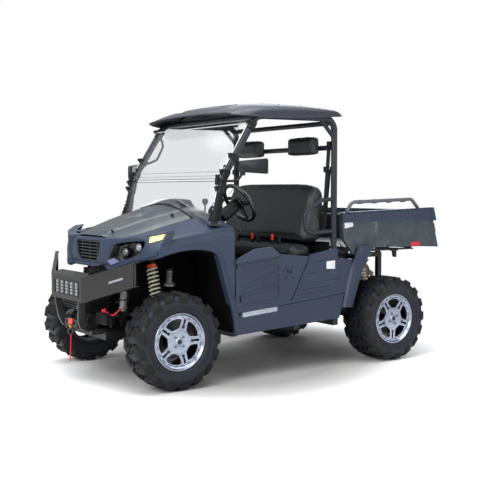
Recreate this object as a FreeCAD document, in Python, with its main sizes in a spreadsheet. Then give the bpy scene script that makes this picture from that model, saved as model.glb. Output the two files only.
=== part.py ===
import FreeCAD
import Part
import Sketcher
import math
import os
from FreeCAD import Placement, Rotation, Vector

# A side by side utility vehicle: tube frame, cab with roll cage, tipping load bed, four wheels.
# Millimetres. +X is the vehicle's left, -Y its front, +Z up, and the wheels stand on z = 0.

SIZES = {
    "wheelbase": 1950,
    "front_overhang": 475,
    "rear_overhang": 589,
    "body_half": 705,
    "panel_wall": 6,
    "gap": 6,
    "tyre_radius": 330,
    "front_tyre_width": 229,
    "rear_tyre_width": 279,
    "front_track_half": 666,
    "rear_track_half": 674,
    "rim_radius": 178,
    "rim_flange": 195,
    "front_rim_width": 190,
    "rear_rim_width": 236,
    "rim_wall": 7,
    "wheel_face": 62,
    "kingpin_x": 556,
    "ball_joint_rise": 112,
    "spindle_radius": 24,
    "half_shaft_radius": 14,
    "rail_x": 250,
    "rail_width": 50,
    "rail_height": 60,
    "rail_bottom": 305,
    "bed_rail_top": 812,
    "tower_top": 905,
    "arm_spread": 140,
    "pin_clearance": 0.05,
    "cage_inset": 55,
    "cage_tube": 24,
    "cage_bend": 90,
    "roof_rail_z": 1872,
    "b_pillar_y": 405,
    "cab_front_y": -590,
    "seat_front_y": 70,
    "seat_base_top": 790,
    "seat_inset": 115,
    "cushion_thick": 138,
    "door_axis_y": -552,
    "door_axis_out": 7.5,
    "hood_axis_back": 190,
    "hood_axis_z": 1010,
    "door_thick": 30,
    "sill_width": 28,
    "seat_gap": 0.3,
    "bush_radius": 20,
    "cross_tube": 20,
    "bow_tube": 16,
    "bed_front_y": 438,
    "bed_rear_slant": 89,
    "bed_floor_z": 905,
    "bed_wall": 28,
    "bed_pivot_ahead": 217,
    "bed_pivot_z": 850,
    "bed_pin": 10,
    "gate_axis_ahead": 13,
    "gate_axis_z": 887,
    "bed_rail_tube": 14,
    "tailgate_thick": 26,
    "steering_x": 350,
    "steering_radius": 167,
    "steering_grip": 15,
    "glass_thick": 5,
    "shock_spring": 42,
    "hitch_outer": 64,
    "hitch_inner": 51,
    "hitch_pin": 16,
    "bumper_plate": 6,
    "winch_drum": 34,
}


class Size:
    """A length: its value now, and the expression that gives it from the sheet's cells."""

    def __init__(self, value, text):
        self.value = float(value)
        self.text = text

    def __float__(self):
        return self.value

    def __add__(self, other):
        other = size(other)
        return Size(self.value + other.value, f"({self.text} + {other.text})")

    def __sub__(self, other):
        other = size(other)
        return Size(self.value - other.value, f"({self.text} - {other.text})")

    def __mul__(self, other):
        other = size(other)
        return Size(self.value * other.value, f"({self.text} * {other.text})")

    def __truediv__(self, other):
        other = size(other)
        return Size(self.value / other.value, f"({self.text} / {other.text})")

    def __rtruediv__(self, other):
        return size(other) / self

    def __radd__(self, other):
        return size(other) + self

    def __rsub__(self, other):
        return size(other) - self

    def __rmul__(self, other):
        return size(other) * self

    def __neg__(self):
        return Size(-self.value, f"(0 - {self.text})")


def size(value):
    """A number as a Size, so that both can be added."""
    if isinstance(value, Size):
        return value
    return Size(value, f"{float(value):.4f}")


doc = FreeCAD.newDocument("SideBySide")
sheet = doc.addObject("Spreadsheet::Sheet", "Sizes")
for row, (alias, number) in enumerate(SIZES.items(), 1):
    sheet.set(f"A{row}", alias)
    sheet.set(f"B{row}", str(number))
    sheet.setAlias(f"B{row}", alias)
doc.recompute()
S = {alias: Size(sheet.get(alias), f"Sizes.{alias}") for alias in SIZES}
NODES = []


def keep(name, thing):
    """Marks an object as a finished sub-part."""
    thing.Label = name
    NODES.append((name, thing))
    return thing


def bind(thing, prop, value):
    """Sets a property from a Size, and ties it to the sheet."""
    thing.setExpression(prop, size(value).text)


def move(thing, x=0, y=0, z=0, rotation=None):
    """Places an object, with its base point tied to the sheet."""
    thing.Placement = Placement(Vector(float(x), float(y), float(z)), rotation or Rotation())
    bind(thing, "Placement.Base.x", x)
    bind(thing, "Placement.Base.y", y)
    bind(thing, "Placement.Base.z", z)
    return thing


def box(name, x, y, z):
    """A block given by its low and high value along each axis."""
    block = doc.addObject("Part::Box", name)
    bind(block, "Length", size(x[1]) - x[0])
    bind(block, "Width", size(y[1]) - y[0])
    bind(block, "Height", size(z[1]) - z[0])
    return move(block, x[0], y[0], z[0])


TURN = {
    "X": Rotation(Vector(0, 1, 0), 90),
    "Y": Rotation(Vector(1, 0, 0), -90),
    "Z": Rotation(),
}


def cylinder(name, start, axis, radius, length):
    """A round bar from a start point along one axis."""
    bar = doc.addObject("Part::Cylinder", name)
    bind(bar, "Radius", radius)
    bind(bar, "Height", length)
    return move(bar, *start, rotation=TURN[axis])


def rod(name, start, end, radius, end_radius=None):
    """A round bar or cone between two points."""
    a = Vector(*[float(v) for v in start])
    b = Vector(*[float(v) for v in end])
    kind = "Part::Cylinder" if end_radius is None else "Part::Cone"
    bar = doc.addObject(kind, name)
    if end_radius is None:
        bind(bar, "Radius", radius)
    else:
        bind(bar, "Radius1", radius)
        bind(bar, "Radius2", end_radius)
    bar.Height = (b - a).Length
    bar.Placement = Placement(a, Rotation(Vector(0, 0, 1), b - a))
    for letter, value in zip("xyz", start):
        bind(bar, f"Placement.Base.{letter}", value)
    return bar


def fuse(name, shapes, refine=True):
    """One solid from several that meet."""
    joined = doc.addObject("Part::MultiFuse", name)
    joined.Shapes = shapes
    joined.Refine = refine
    return joined


def group(name, shapes):
    """Several solids that don't touch, kept as one sub-part."""
    several = doc.addObject("Part::Compound", name)
    several.Links = shapes
    return several


def cut(name, base, tool):
    """A base shape less a tool."""
    result = doc.addObject("Part::Cut", name)
    result.Base = base
    result.Tool = tool
    return result


def body(name, several=False):
    """A new solid body made from sketches."""
    made = doc.addObject("PartDesign::Body", name)
    made.AllowCompound = several
    return made


class Arc:
    """Stands between two corners of an outline: a round stretch, centre on the left if positive."""

    def __init__(self, radius):
        self.radius = size(radius)


def arc_points(start, end, radius):
    """The centre of a round stretch from start to end."""
    middle = (start + end) * 0.5
    along = end - start
    half = along.Length / 2
    reach = math.sqrt(max(radius * radius - half * half, 0))
    left = Vector(-along.y, along.x, 0)
    left.normalize()
    return middle + left * (reach if radius > 0 else -reach)


def sketch(owner, name, plane, offset, outlines):
    """A sketch on one of the body's origin planes. Each corner is held by its two distances."""
    drawn = owner.newObject("Sketcher::SketchObject", name)
    base = [f for f in owner.Origin.OriginFeatures if f.Role == plane + "_Plane"][0]
    drawn.AttachmentSupport = [(base, "")]
    drawn.MapMode = "FlatFace"
    drawn.AttachmentOffset = Placement(Vector(0, 0, float(offset)), Rotation())
    bind(drawn, "AttachmentOffset.Base.z", offset)
    for outline in outlines:
        if isinstance(outline, tuple):
            add_circle(drawn, *outline)
        else:
            add_outline(drawn, outline)
    return drawn


def hold(drawn, kind, *where):
    """Adds a constraint whose last value is a Size, tied to the sheet."""
    where = list(where)
    value = size(where.pop())
    index = drawn.addConstraint(Sketcher.Constraint(kind, *where, float(value)))
    drawn.setExpression(f"Constraints[{index}]", value.text)


def add_circle(drawn, x, y, radius):
    """A circle in a sketch, held at its centre and radius."""
    circle = Part.Circle(Vector(float(x), float(y), 0), Vector(0, 0, 1), float(radius))
    index = drawn.addGeometry(circle, False)
    hold(drawn, "Radius", index, radius)
    hold(drawn, "DistanceX", -1, 1, index, 3, x)
    hold(drawn, "DistanceY", -1, 1, index, 3, y)


def add_outline(drawn, outline):
    """A closed outline of straight and round stretches."""
    corners = [item for item in outline if not isinstance(item, Arc)]
    arcs = {}
    count = 0
    for item in outline:
        if isinstance(item, Arc):
            arcs[count - 1] = item
        else:
            count += 1
    points = [Vector(float(x), float(y), 0) for x, y in corners]
    pieces = []
    for number, start in enumerate(points):
        end = points[(number + 1) % count]
        if number in arcs:
            radius = float(arcs[number].radius)
            middle = arc_points(start, end, radius)
            first, last = (start, end) if radius > 0 else (end, start)
            low = math.atan2(first.y - middle.y, first.x - middle.x)
            high = math.atan2(last.y - middle.y, last.x - middle.x)
            circle = Part.Circle(middle, Vector(0, 0, 1), abs(radius))
            pieces.append(Part.ArcOfCircle(circle, low, high if high > low else high + 2 * math.pi))
        else:
            pieces.append(Part.LineSegment(start, end))
    first_index = drawn.addGeometry(pieces[0], False)
    for piece in pieces[1:]:
        drawn.addGeometry(piece, False)
    ends = {}
    for number in range(count):
        backward = number in arcs and float(arcs[number].radius) < 0
        ends[number] = (2, 1) if backward else (1, 2)
    for number in range(count):
        after = (number + 1) % count
        drawn.addConstraint(Sketcher.Constraint(
            "Coincident", first_index + number, ends[number][1],
            first_index + after, ends[after][0]))
    for number, (x, y) in enumerate(corners):
        hold(drawn, "DistanceX", -1, 1, first_index + number, ends[number][0], x)
        hold(drawn, "DistanceY", -1, 1, first_index + number, ends[number][0], y)
    for number, item in arcs.items():
        hold(drawn, "Radius", first_index + number, size(abs(float(item.radius))))


def pad(owner, name, drawn, length, middle=False, back=False):
    """A straight solid from a sketch."""
    made = owner.newObject("PartDesign::Pad", name)
    made.Profile = drawn
    bind(made, "Length", length)
    made.Midplane = middle
    made.Reversed = back
    return made


def pocket(owner, name, drawn, length, middle=False, back=False):
    """A straight cut from a sketch."""
    made = owner.newObject("PartDesign::Pocket", name)
    made.Profile = drawn
    bind(made, "Length", length)
    made.Midplane = middle
    made.Reversed = back
    return made


def slab(name, plane, outline, offset, length, middle=False, back=False):
    """A body made by padding one outline."""
    owner = body(name)
    drawn = sketch(owner, name + "_outline", plane, offset, [outline])
    pad(owner, name + "_pad", drawn, length, middle, back)
    return owner


def loft(owner, name, sketches, straight=False):
    """A solid through several sketches."""
    made = owner.newObject("PartDesign::AdditiveLoft", name)
    made.Profile = sketches[0]
    made.Sections = sketches[1:]
    made.Ruled = straight
    return made


def rounded_wire(points, radius):
    """A path of straight runs joined by tangent arcs."""
    places = [Vector(*[float(v) for v in point]) for point in points]
    edges = []
    at = places[0]
    for before, corner, after in zip(places, places[1:], places[2:]):
        to_start = (before - corner).normalize()
        to_end = (after - corner).normalize()
        turn = math.pi - to_start.getAngle(to_end)
        reach = min(radius * math.tan(turn / 2), 0.45 * (before - corner).Length,
                    0.45 * (after - corner).Length)
        bend = reach / math.tan(turn / 2)
        first = corner + to_start * reach
        last = corner + to_end * reach
        inward = (to_start + to_end).normalize()
        middle = corner + inward * (bend / math.cos(turn / 2) - bend)
        if (first - at).Length > 0.01:
            edges.append(Part.LineSegment(at, first).toShape())
        edges.append(Part.Arc(first, middle, last).toShape())
        at = last
    edges.append(Part.LineSegment(at, places[-1]).toShape())
    return Part.Wire(edges)


def pipe(name, points, tube_radius, bend_radius):
    """A round tube along a path; the path's points and the sizes come from the sheet."""
    path = rounded_wire(points, float(bend_radius))
    start = path.Edges[0]
    ring = Part.Circle(start.valueAt(start.FirstParameter),
                       start.tangentAt(start.FirstParameter), float(tube_radius))
    made = doc.addObject("Part::Feature", name)
    made.Shape = path.makePipeShell([Part.Wire([ring.toShape()])], True, True)
    return made


def mirrored(name, source, side):
    """The source itself on the left, and its mirror image on the right."""
    if side > 0:
        return source
    made = doc.addObject("Part::Mirroring", name)
    made.Source = source
    made.Base = Vector(0, 0, 0)
    made.Normal = Vector(1, 0, 0)
    return made


def pair(name, make):
    """Left and right copies of one shape."""
    left = make(name + "_left")
    right = mirrored(name + "_right", left, -1)
    return [left, right]


# Places that several pieces share
FRONT_Y = size(-1507)
FRONT_AXLE = FRONT_Y + S["front_overhang"]
REAR_AXLE = FRONT_AXLE + S["wheelbase"]
REAR_Y = REAR_AXLE + S["rear_overhang"]
AXLE_Z = S["tyre_radius"]
RAIL_TOP = S["rail_bottom"] + S["rail_height"]
BODY = S["body_half"]
WALL = S["panel_wall"]
GAP = S["gap"]
CAGE_X = BODY - S["cage_inset"]
SEAT_HALF = BODY - S["seat_inset"]
TUBE = S["cage_tube"]
LEFT_RIGHT = ((1, "left"), (-1, "right"))
FRAME_FRONT = FRONT_Y + 170
FRAME_REAR = REAR_Y - 190
NOSE_FACE = FRONT_Y + 172
GRILLE_DEEP = 12.8
LOWER_ARM_Z = S["rail_bottom"] + S["rail_height"] / 2
UPPER_ARM_Z = size(480)
ARM_INNER_X = S["rail_x"] + S["rail_width"] / 2 + S["bush_radius"] + S["seat_gap"]
BED_UNDER = S["bed_floor_z"] - 25
BED_HALF = BODY - 5
BED_REAR = REAR_Y - S["bed_rear_slant"]
BED_PIVOT_Y = REAR_Y - S["bed_pivot_ahead"]
HOOD_AXIS_Y = FRONT_Y + S["hood_axis_back"]
HINGE_LEVELS = (size(560), size(802))
REAR_CARRIER_X = S["rear_track_half"] - S["rear_rim_width"] / 2 - 10
LUGS = 17


def strip(half, wall):
    """A closed cross-section from a half outline: outside from right to left, then back inside."""
    outside = [(-x, z) for x, z in reversed(half[1:])] + list(half)
    inside = []
    reach = float(half[-1][0])
    for x, z in outside:
        inset = size(wall) * (float(x) / reach)
        inside.append((x - inset, z - wall))
    return outside + inside[::-1]


def side_strip(line, wall):
    """A closed cross-section on one side: outside line from the middle outwards, then back."""
    inside = [(x - wall, z - wall) for x, z in line]
    inside[-1] = (line[-1][0] - wall, line[-1][1])
    return list(line) + inside[::-1]


def lofted_panel(name, stations, shape, straight=False):
    """A thin panel through cross-sections along the vehicle."""
    owner = body(name)
    drawn = []
    for number, (y, line) in enumerate(stations):
        drawn.append(sketch(owner, f"{name}_section_{number}", "XZ", -size(y), [shape(line, WALL)]))
    loft(owner, name + "_loft", drawn, straight)
    return owner


def upright(name, side, y, top):
    """A square post on a frame rail's inner side."""
    x = side * (S["rail_x"] - 40)
    return box(name, (x - 20, x + 20), (y, y + 40), (RAIL_TOP - 10, top))


def frame():
    """The main frame: two rails, cross members, towers, bed posts and the skid plate."""
    parts = []
    rail = S["rail_width"] / 2
    low = S["rail_bottom"]
    for side, word in LEFT_RIGHT:
        x = side * S["rail_x"]
        parts.append(box(f"rail_{word}", (x - rail, x + rail), (FRAME_FRONT, FRAME_REAR),
                         (low, RAIL_TOP)))
    wide = BODY - S["sill_width"] - S["seat_gap"]
    crosses = ((FRAME_FRONT + 4, S["rail_x"]), (size(-558), wide), (size(0), wide),
               (S["b_pillar_y"] - 25, wide), (REAR_AXLE - 154, S["rail_x"]), (FRAME_REAR - 54, S["rail_x"]))
    for number, (y, half) in enumerate(crosses):
        parts.append(box(f"cross_{number}", (-half, half), (y, y + 50), (low + 4, RAIL_TOP)))
    parts.append(box("skid_plate", (-S["rail_x"], S["rail_x"]), (FRAME_FRONT + 8, REAR_AXLE - 158),
                     (low - 4, low + 2)))
    bars = (("front", FRONT_AXLE, S["tower_top"]), ("rear", REAR_AXLE, S["bed_rail_top"]))
    for end, axle, top in bars:
        spread = S["arm_spread"]
        for side, word in LEFT_RIGHT:
            for number, y in enumerate((axle - spread - 20, axle + spread - 20)):
                parts.append(upright(f"{end}_tower_{word}_{number}", side, y, top - 8))
                x = (S["rail_x"] - 30, S["rail_x"] + rail)
                x = x if side > 0 else (-x[1], -x[0])
                parts.append(box(f"{end}_bracket_{word}_{number}", x, (y + 4, y + 36),
                                 (UPPER_ARM_Z - 18, UPPER_ARM_Z + 18)))
        half = size(409)
        parts.append(box(f"{end}_shock_bar", (-half, half), (axle - 20, axle + 20), (top - 38, top - 2)))
    for side, word in LEFT_RIGHT:
        x = side * (S["rail_x"] - 40)
        parts.append(box(f"tower_rail_{word}", (x - 18, x + 18),
                         (NOSE_FACE + nose_back(865) + WALL + GRILLE_DEEP + S["seat_gap"],
                          FRONT_AXLE + S["arm_spread"] + 18),
                         (S["tower_top"] - 40, S["tower_top"])))
        parts.append(box(f"bed_rail_{word}_low", (x - 18, x + 18),
                         (S["bed_front_y"] + 20, BED_PIVOT_Y + 30),
                         (S["bed_rail_top"] - 40, S["bed_rail_top"])))
        for number, y in enumerate((S["bed_front_y"] + 22, BED_PIVOT_Y - 12)):
            parts.append(upright(f"bed_post_{word}_{number}", side, y, S["bed_rail_top"] - 8))
        y = S["bed_front_y"] + 30
        parts.append(box(f"bed_rest_{word}", (x - 16, x + 16), (y, y + 30),
                         (S["bed_rail_top"] - 8, BED_UNDER - S["seat_gap"])))
        parts.append(pivot_ear(f"pivot_ear_{word}", x))
    keep("frame", fuse("frame_joined", parts, refine=False))


def pivot_ear(name, x):
    """An ear on the frame with the bore of the bed's pivot pin."""
    y = BED_PIVOT_Y
    z = S["bed_pivot_z"]
    owner = body(name)
    outline = [(y - 24, S["bed_rail_top"] - 6), (y + 24, S["bed_rail_top"] - 6), (y + 15, z + 16),
               (y - 15, z + 16)]
    bore = (y, z, S["bed_pin"] + S["pin_clearance"])
    drawn = sketch(owner, name + "_outline", "YZ", x - 10, [outline, bore])
    pad(owner, name + "_pad", drawn, 20)
    return owner


def hitch():
    """The square receiver under the tail, with its cross pin bore."""
    owner = body("hitch_receiver")
    outer = S["hitch_outer"] / 2
    inner = S["hitch_inner"] / 2
    centre = S["rail_bottom"] + S["rail_height"] / 2
    rear = REAR_Y - 105
    front = FRAME_REAR - 4 + S["seat_gap"]
    outline = [(-outer, centre - outer), (outer, centre - outer),
               (outer, centre + outer), (-outer, centre + outer)]
    hole = [(-inner, centre - inner), (inner, centre - inner),
            (inner, centre + inner), (-inner, centre + inner)]
    tube = sketch(owner, "receiver_outline", "XZ", -rear, [outline, hole])
    pad(owner, "receiver_tube", tube, rear - front)
    pin = sketch(owner, "receiver_pin", "YZ", 0, [(rear - 40, centre, S["hitch_pin"] / 2)])
    pocket(owner, "receiver_bore", pin, 200, middle=True)
    keep("hitch", owner)


def ring_section(owner, name, x, radius):
    """A regular polygon across the axle, one side to a lug, held by the circle through its corners."""
    drawn = sketch(owner, name, "YZ", x, [])
    guide = drawn.addGeometry(Part.Circle(Vector(), Vector(0, 0, 1), float(radius)), True)
    drawn.addConstraint(Sketcher.Constraint("Coincident", guide, 3, -1, 1))
    hold(drawn, "Radius", guide, radius)
    step = 2 * math.pi / LUGS
    corners = [Vector(math.cos(n * step), math.sin(n * step), 0) * float(radius) for n in range(LUGS)]
    edges = [drawn.addGeometry(Part.LineSegment(a, b), False)
             for a, b in zip(corners, corners[1:] + corners[:1])]
    for edge, after in zip(edges, edges[1:] + edges[:1]):
        drawn.addConstraint(Sketcher.Constraint("Coincident", edge, 2, after, 1))
        drawn.addConstraint(Sketcher.Constraint("PointOnObject", edge, 1, guide))
    for edge in edges[1:]:
        drawn.addConstraint(Sketcher.Constraint("Equal", edges[0], edge))
    drawn.addConstraint(Sketcher.Constraint("PointOnObject", edges[0], 1, -1))
    return drawn


def around(owner, name, feature, drawn, count):
    """Repeats a feature of a body evenly round the axle."""
    spread = owner.newObject("PartDesign::PolarPattern", name)
    spread.Originals = [feature]
    spread.Axis = (drawn, ["H_Axis"])
    spread.Angle = 360
    spread.Occurrences = count
    owner.Tip = spread
    return spread


def tyre_body(name, width, rim_width):
    """A tyre round the origin: a flat-sided carcass bored for the rim, with staggered shoulder lugs."""
    owner = body(name)
    half = width / 2
    wall = half - 5
    bead = rim_width / 2 - 8
    top = S["tyre_radius"]
    spread = 1 / math.cos(math.pi / LUGS)
    crown = ring_section(owner, name + "_ring", 0, (top - 18) * spread)
    carcass = pad(owner, name + "_carcass", crown, 2 * wall, middle=True)
    doc.recompute()
    shoulder = owner.newObject("PartDesign::Chamfer", name + "_shoulder")
    shoulder.Base = (carcass, [f"Face{number}" for number, face in enumerate(carcass.Shape.Faces, 1)
                               if abs(face.normalAt(0, 0).x) > 0.9])
    shoulder.Size = 28
    owner.Tip = shoulder
    bore = ring_section(owner, name + "_bore", 0, (S["rim_radius"] + 0.5) * spread)
    pocket(owner, name + "_bored", bore, width, middle=True)
    for way, word in ((1, "near"), (-1, "far")):
        recess = ring_section(owner, f"{name}_{word}_recess", way * wall, (S["rim_flange"] + 2) * spread)
        pocket(owner, f"{name}_{word}_bead", recess, wall - bead, back=way < 0)
    lug = [(half - 64, top - 30), (half - 64, top), (half - 20, top), (half, top - 62), (half - 24, top - 76)]
    rows = (("outer", lug, 0), ("inner", [(-x, radius) for x, radius in lug], 180 / LUGS))
    for word, outline, turn in rows:
        drawn = sketch(owner, f"{name}_{word}_lug", "XY", 0, [outline])
        drawn.AttachmentOffset = Placement(Vector(), Rotation(Vector(1, 0, 0), turn))
        block = pad(owner, f"{name}_{word}_block", drawn, 44, middle=True)
        around(owner, f"{name}_{word}_lugs", block, drawn, LUGS)
    return owner


def tyre(name, y, x, width, rim_width):
    """The left tyre, turned to stand on a lug, and its mirror image on the right."""
    left = move(tyre_body(name + "_left", width, rim_width), x, y, AXLE_Z,
                rotation=Rotation(Vector(1, 0, 0), -90))
    for side, word in LEFT_RIGHT:
        keep(f"{name}_{word}", mirrored(f"{name}_{word}", left, side))


def rim(name, side, x, y, rim_width):
    """An alloy wheel: barrel with two flanges, a disc with five pairs of windows, a hub."""
    owner = body(name)
    half = rim_width / 2
    face = S["wheel_face"]
    inner = S["rim_radius"] - S["rim_wall"]
    flange = S["rim_flange"]
    outline = [(-half, inner), (face - 16, inner), (face - 16, 62), (face - 46, 58),
               (face - 46, S["spindle_radius"] + S["pin_clearance"]),
               (face - 4, S["spindle_radius"] + S["pin_clearance"]),
               (face - 4, 5), (face + 4, 5), (face + 4, 52), (face, 62), (face, inner),
               (half, inner), (half, flange), (half - 7, flange), (half - 7, S["rim_radius"]),
               (7 - half, S["rim_radius"]), (7 - half, flange), (-half, flange)]
    drawn = sketch(owner, name + "_profile", "XY", 0, [outline])
    turned = owner.newObject("PartDesign::Revolution", name + "_turned")
    turned.Profile = drawn
    turned.ReferenceAxis = (drawn, ["H_Axis"])
    turned.Angle = 360
    near = size(72)
    far = inner - 14
    window = [(-30, near), (30, near), (62, far - 14), (0, far), (-62, far - 14)]
    cutter = sketch(owner, name + "_window", "YZ", 0, [window])
    opening = pocket(owner, name + "_window_cut", cutter, face + 40, back=True)
    around(owner, name + "_windows", opening, drawn, 5)
    turn = Rotation() if side > 0 else Rotation(Vector(0, 0, 1), 180)
    move(owner, side * x, y, AXLE_Z, rotation=turn)
    keep(name, owner)


def wheels():
    """Four tyres and four rims."""
    ends = (("front", FRONT_AXLE, S["front_track_half"], S["front_tyre_width"], S["front_rim_width"]),
            ("rear", REAR_AXLE, S["rear_track_half"], S["rear_tyre_width"], S["rear_rim_width"]))
    for end, y, x, width, rim_width in ends:
        tyre(f"tyre_{end}", y, x, width, rim_width)
        for side, word in LEFT_RIGHT:
            rim(f"rim_{end}_{word}", side, x, y, rim_width)


def spindle_end(track_half):
    """How far out the spindle reaches: just short of the wheel's centre cap."""
    return track_half + S["wheel_face"] - 4 - 6


def knuckles():
    """Front knuckles: an upright between two ball joints, with the spindle that carries the wheel."""
    rise = S["ball_joint_rise"]
    deep = 22
    for side, word in LEFT_RIGHT:
        x = side * S["kingpin_x"]
        out = spindle_end(S["front_track_half"]) - S["kingpin_x"]
        pieces = [cylinder(f"king_post_{word}", (x, FRONT_AXLE, AXLE_Z - rise + 20), "Z", 24,
                           2 * rise - 40)]
        for number, z in enumerate((AXLE_Z - rise, AXLE_Z + rise - 45)):
            pieces.append(box(f"upright_{word}_{number}", (x - 16, x + 16),
                              (FRONT_AXLE - deep, FRONT_AXLE + deep), (z, z + 45)))
        first = x if side > 0 else x - out
        pieces.append(cylinder(f"spindle_{word}", (first, FRONT_AXLE, AXLE_Z), "X",
                               S["spindle_radius"], out))
        pieces.append(box(f"steering_arm_{word}", (x - 12, x + 12), (FRONT_AXLE, FRONT_AXLE + 92),
                          (AXLE_Z - 88, AXLE_Z - 74)))
        keep(f"knuckle_{word}", fuse(f"knuckle_{word}_joined", pieces))


def a_arm(name, ball, y, inner_z, cup=0):
    """A wishbone: two legs from the ball joint to the frame's bushes, with a seat for a shock."""
    x, z = ball
    spread = S["arm_spread"]
    parts = [cylinder(name + "_ball", (x, y, z - 14), "Z", 17, 28)]
    parts.append(box(name + "_yoke", (x - 44, x - 6), (y - 33, y + 33), (z - 12, z + 12)))
    for number, way in enumerate((-1, 1)):
        inner = (ARM_INNER_X, y + way * spread, inner_z)
        parts.append(rod(f"{name}_leg_{number}", (x - 24, y + way * 18, z), inner, 10.5))
        parts.append(cylinder(f"{name}_bush_{number}", (ARM_INNER_X, y + way * spread - 22, inner_z),
                              "Y", S["bush_radius"], 44))
    if cup:
        parts.append(box(name + "_cup", (x - 110, x - 55), (y - 55, y + 55), (z - 8, z + 12)))
    return fuse(name, parts, refine=False)


def suspension():
    """Arms, rear hub carriers and half shafts, left and right."""
    parts = []
    rise = S["ball_joint_rise"] + 14 + S["seat_gap"]
    for word, way, inner_z in (("lower", -1, LOWER_ARM_Z), ("upper", 1, UPPER_ARM_Z)):
        def front(name, way=way, inner_z=inner_z):
            return a_arm(name, (S["kingpin_x"], AXLE_Z + way * rise), FRONT_AXLE, inner_z, way > 0)

        def rear(name, way=way, inner_z=inner_z):
            ball_x = REAR_CARRIER_X - 22 - 17 - S["seat_gap"]
            return a_arm(name, (ball_x, AXLE_Z + way * 110), REAR_AXLE, inner_z, way > 0)

        parts += pair(f"front_{word}_arm", front)
        parts += pair(f"rear_{word}_arm", rear)

    def carrier(name):
        end = REAR_CARRIER_X
        post = box(name + "_post", (end - 22, end), (REAR_AXLE - 35, REAR_AXLE + 35),
                   (AXLE_Z - 125, AXLE_Z + 125))
        out = spindle_end(S["rear_track_half"])
        spindle = cylinder(name + "_spindle", (end - 10, REAR_AXLE, AXLE_Z), "X",
                           S["spindle_radius"], out - end + 10)
        return fuse(name, [post, spindle])

    parts += pair("rear_carrier", carrier)
    keep("suspension_arms", group("suspension_pieces", parts))


def half_shafts():
    """Drive shafts with their boots, and the two gear cases that they come out of."""
    parts = []
    rise = 100
    lean = S["half_shaft_radius"] * 0.24 + S["seat_gap"]
    ends = (("front", FRONT_AXLE, S["kingpin_x"] - 24 - lean),
            ("rear", REAR_AXLE, REAR_CARRIER_X - 22 - lean))
    for word, y, end in ends:
        pieces = [cylinder(f"{word}_case", (-95, y, AXLE_Z + rise), "X", 78, 190),
                  box(f"{word}_case_foot", (-60, 60), (y - 40, y + 40),
                      (S["rail_bottom"] + 2 + S["seat_gap"], AXLE_Z + rise))]
        for side, hand in LEFT_RIGHT:
            start = (side * size(90), y, AXLE_Z + rise)
            stop = (side * end, y, AXLE_Z)
            pieces.append(rod(f"{word}_shaft_{hand}", start, stop, S["half_shaft_radius"]))
            near = (side * size(180), y, AXLE_Z + rise - 20)
            pieces.append(rod(f"{word}_boot_{hand}", start, near, 42, 22))
        parts.append(fuse(f"{word}_drive", pieces))
    keep("half_shafts", group("drive_pieces", parts))


def coil(name, start, end, radius, turns):
    """A closely wound coil spring from start to end, as a sleeve with a round rib to each turn."""
    low = Vector(*[float(v) for v in start])
    high = Vector(*[float(v) for v in end])
    pitch = (high - low).Length / turns
    outline = [(0, 0)]
    for turn in range(turns):
        outline += [(radius - 8, pitch * turn), (radius, pitch * (turn + 0.3)),
                    (radius, pitch * (turn + 0.6))]
    outline += [(radius - 8, pitch * turns), (0, pitch * turns)]
    owner = body(name)
    drawn = sketch(owner, name + "_profile", "XZ", 0, [outline])
    turned = owner.newObject("PartDesign::Revolution", name + "_turned")
    turned.Profile = drawn
    turned.ReferenceAxis = (drawn, ["V_Axis"])
    turned.Angle = 360
    owner.Placement = Placement(low, Rotation(Vector(0, 0, 1), high - low))
    return owner


def shocks():
    """Four coil-over shocks: body, rod, spring collar and coil spring."""
    parts = []
    eye = 16
    front_lift = eye * 0.236 + S["seat_gap"]
    rear_lift = eye * 0.135 + S["seat_gap"]
    front_cup = AXLE_Z + S["ball_joint_rise"] + 14 + S["seat_gap"] + 12 + front_lift
    rear_cup = AXLE_Z + 110 + 12 + rear_lift
    places = (("front", (385, FRONT_AXLE - 3, S["tower_top"] - 38 - front_lift),
               (S["kingpin_x"] - 80, FRONT_AXLE + 3, front_cup)),
              ("rear", (385, REAR_AXLE, S["bed_rail_top"] - 38 - rear_lift),
               (REAR_CARRIER_X - 118, REAR_AXLE, rear_cup)))
    for word, top, bottom in places:
        def make(name, top=top, bottom=bottom):
            high = Vector(*[float(v) for v in top])
            low = Vector(*[float(v) for v in bottom])
            at = lambda share: tuple(low + (high - low) * share)
            core = rod(name + "_core", bottom, top, eye)
            spring = coil(name + "_spring", at(0.14), at(0.74), S["shock_spring"], 8)
            collar = rod(name + "_collar", at(0.74), at(0.82), S["shock_spring"])
            return fuse(name, [core, spring, collar], refine=False)
        parts += pair(f"{word}_shock", make)
    keep("shocks", group("shock_pieces", parts))


def engine():
    """The engine and gearbox as one plain block, and the muffler behind it."""
    keep("engine", box("engine_block", (-190, 190), (REAR_AXLE - 410, REAR_AXLE - 130),
                       (RAIL_TOP + S["seat_gap"], 770)))
    muffler = cylinder("muffler", (-165, REAR_AXLE + 245, 640), "X", 80, 330)
    tail = pipe("tail_pipe", [(100, REAR_AXLE + 245, 640), (100, REAR_AXLE + 350, 640),
                              (100, REAR_AXLE + 410, 610)], 22, 60)
    feed = rod("feed_pipe", (0, REAR_AXLE - 127, 600), (0, REAR_AXLE + 200, 640), 22)
    keep("exhaust", fuse("exhaust_joined", [muffler, tail, feed]))


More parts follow.
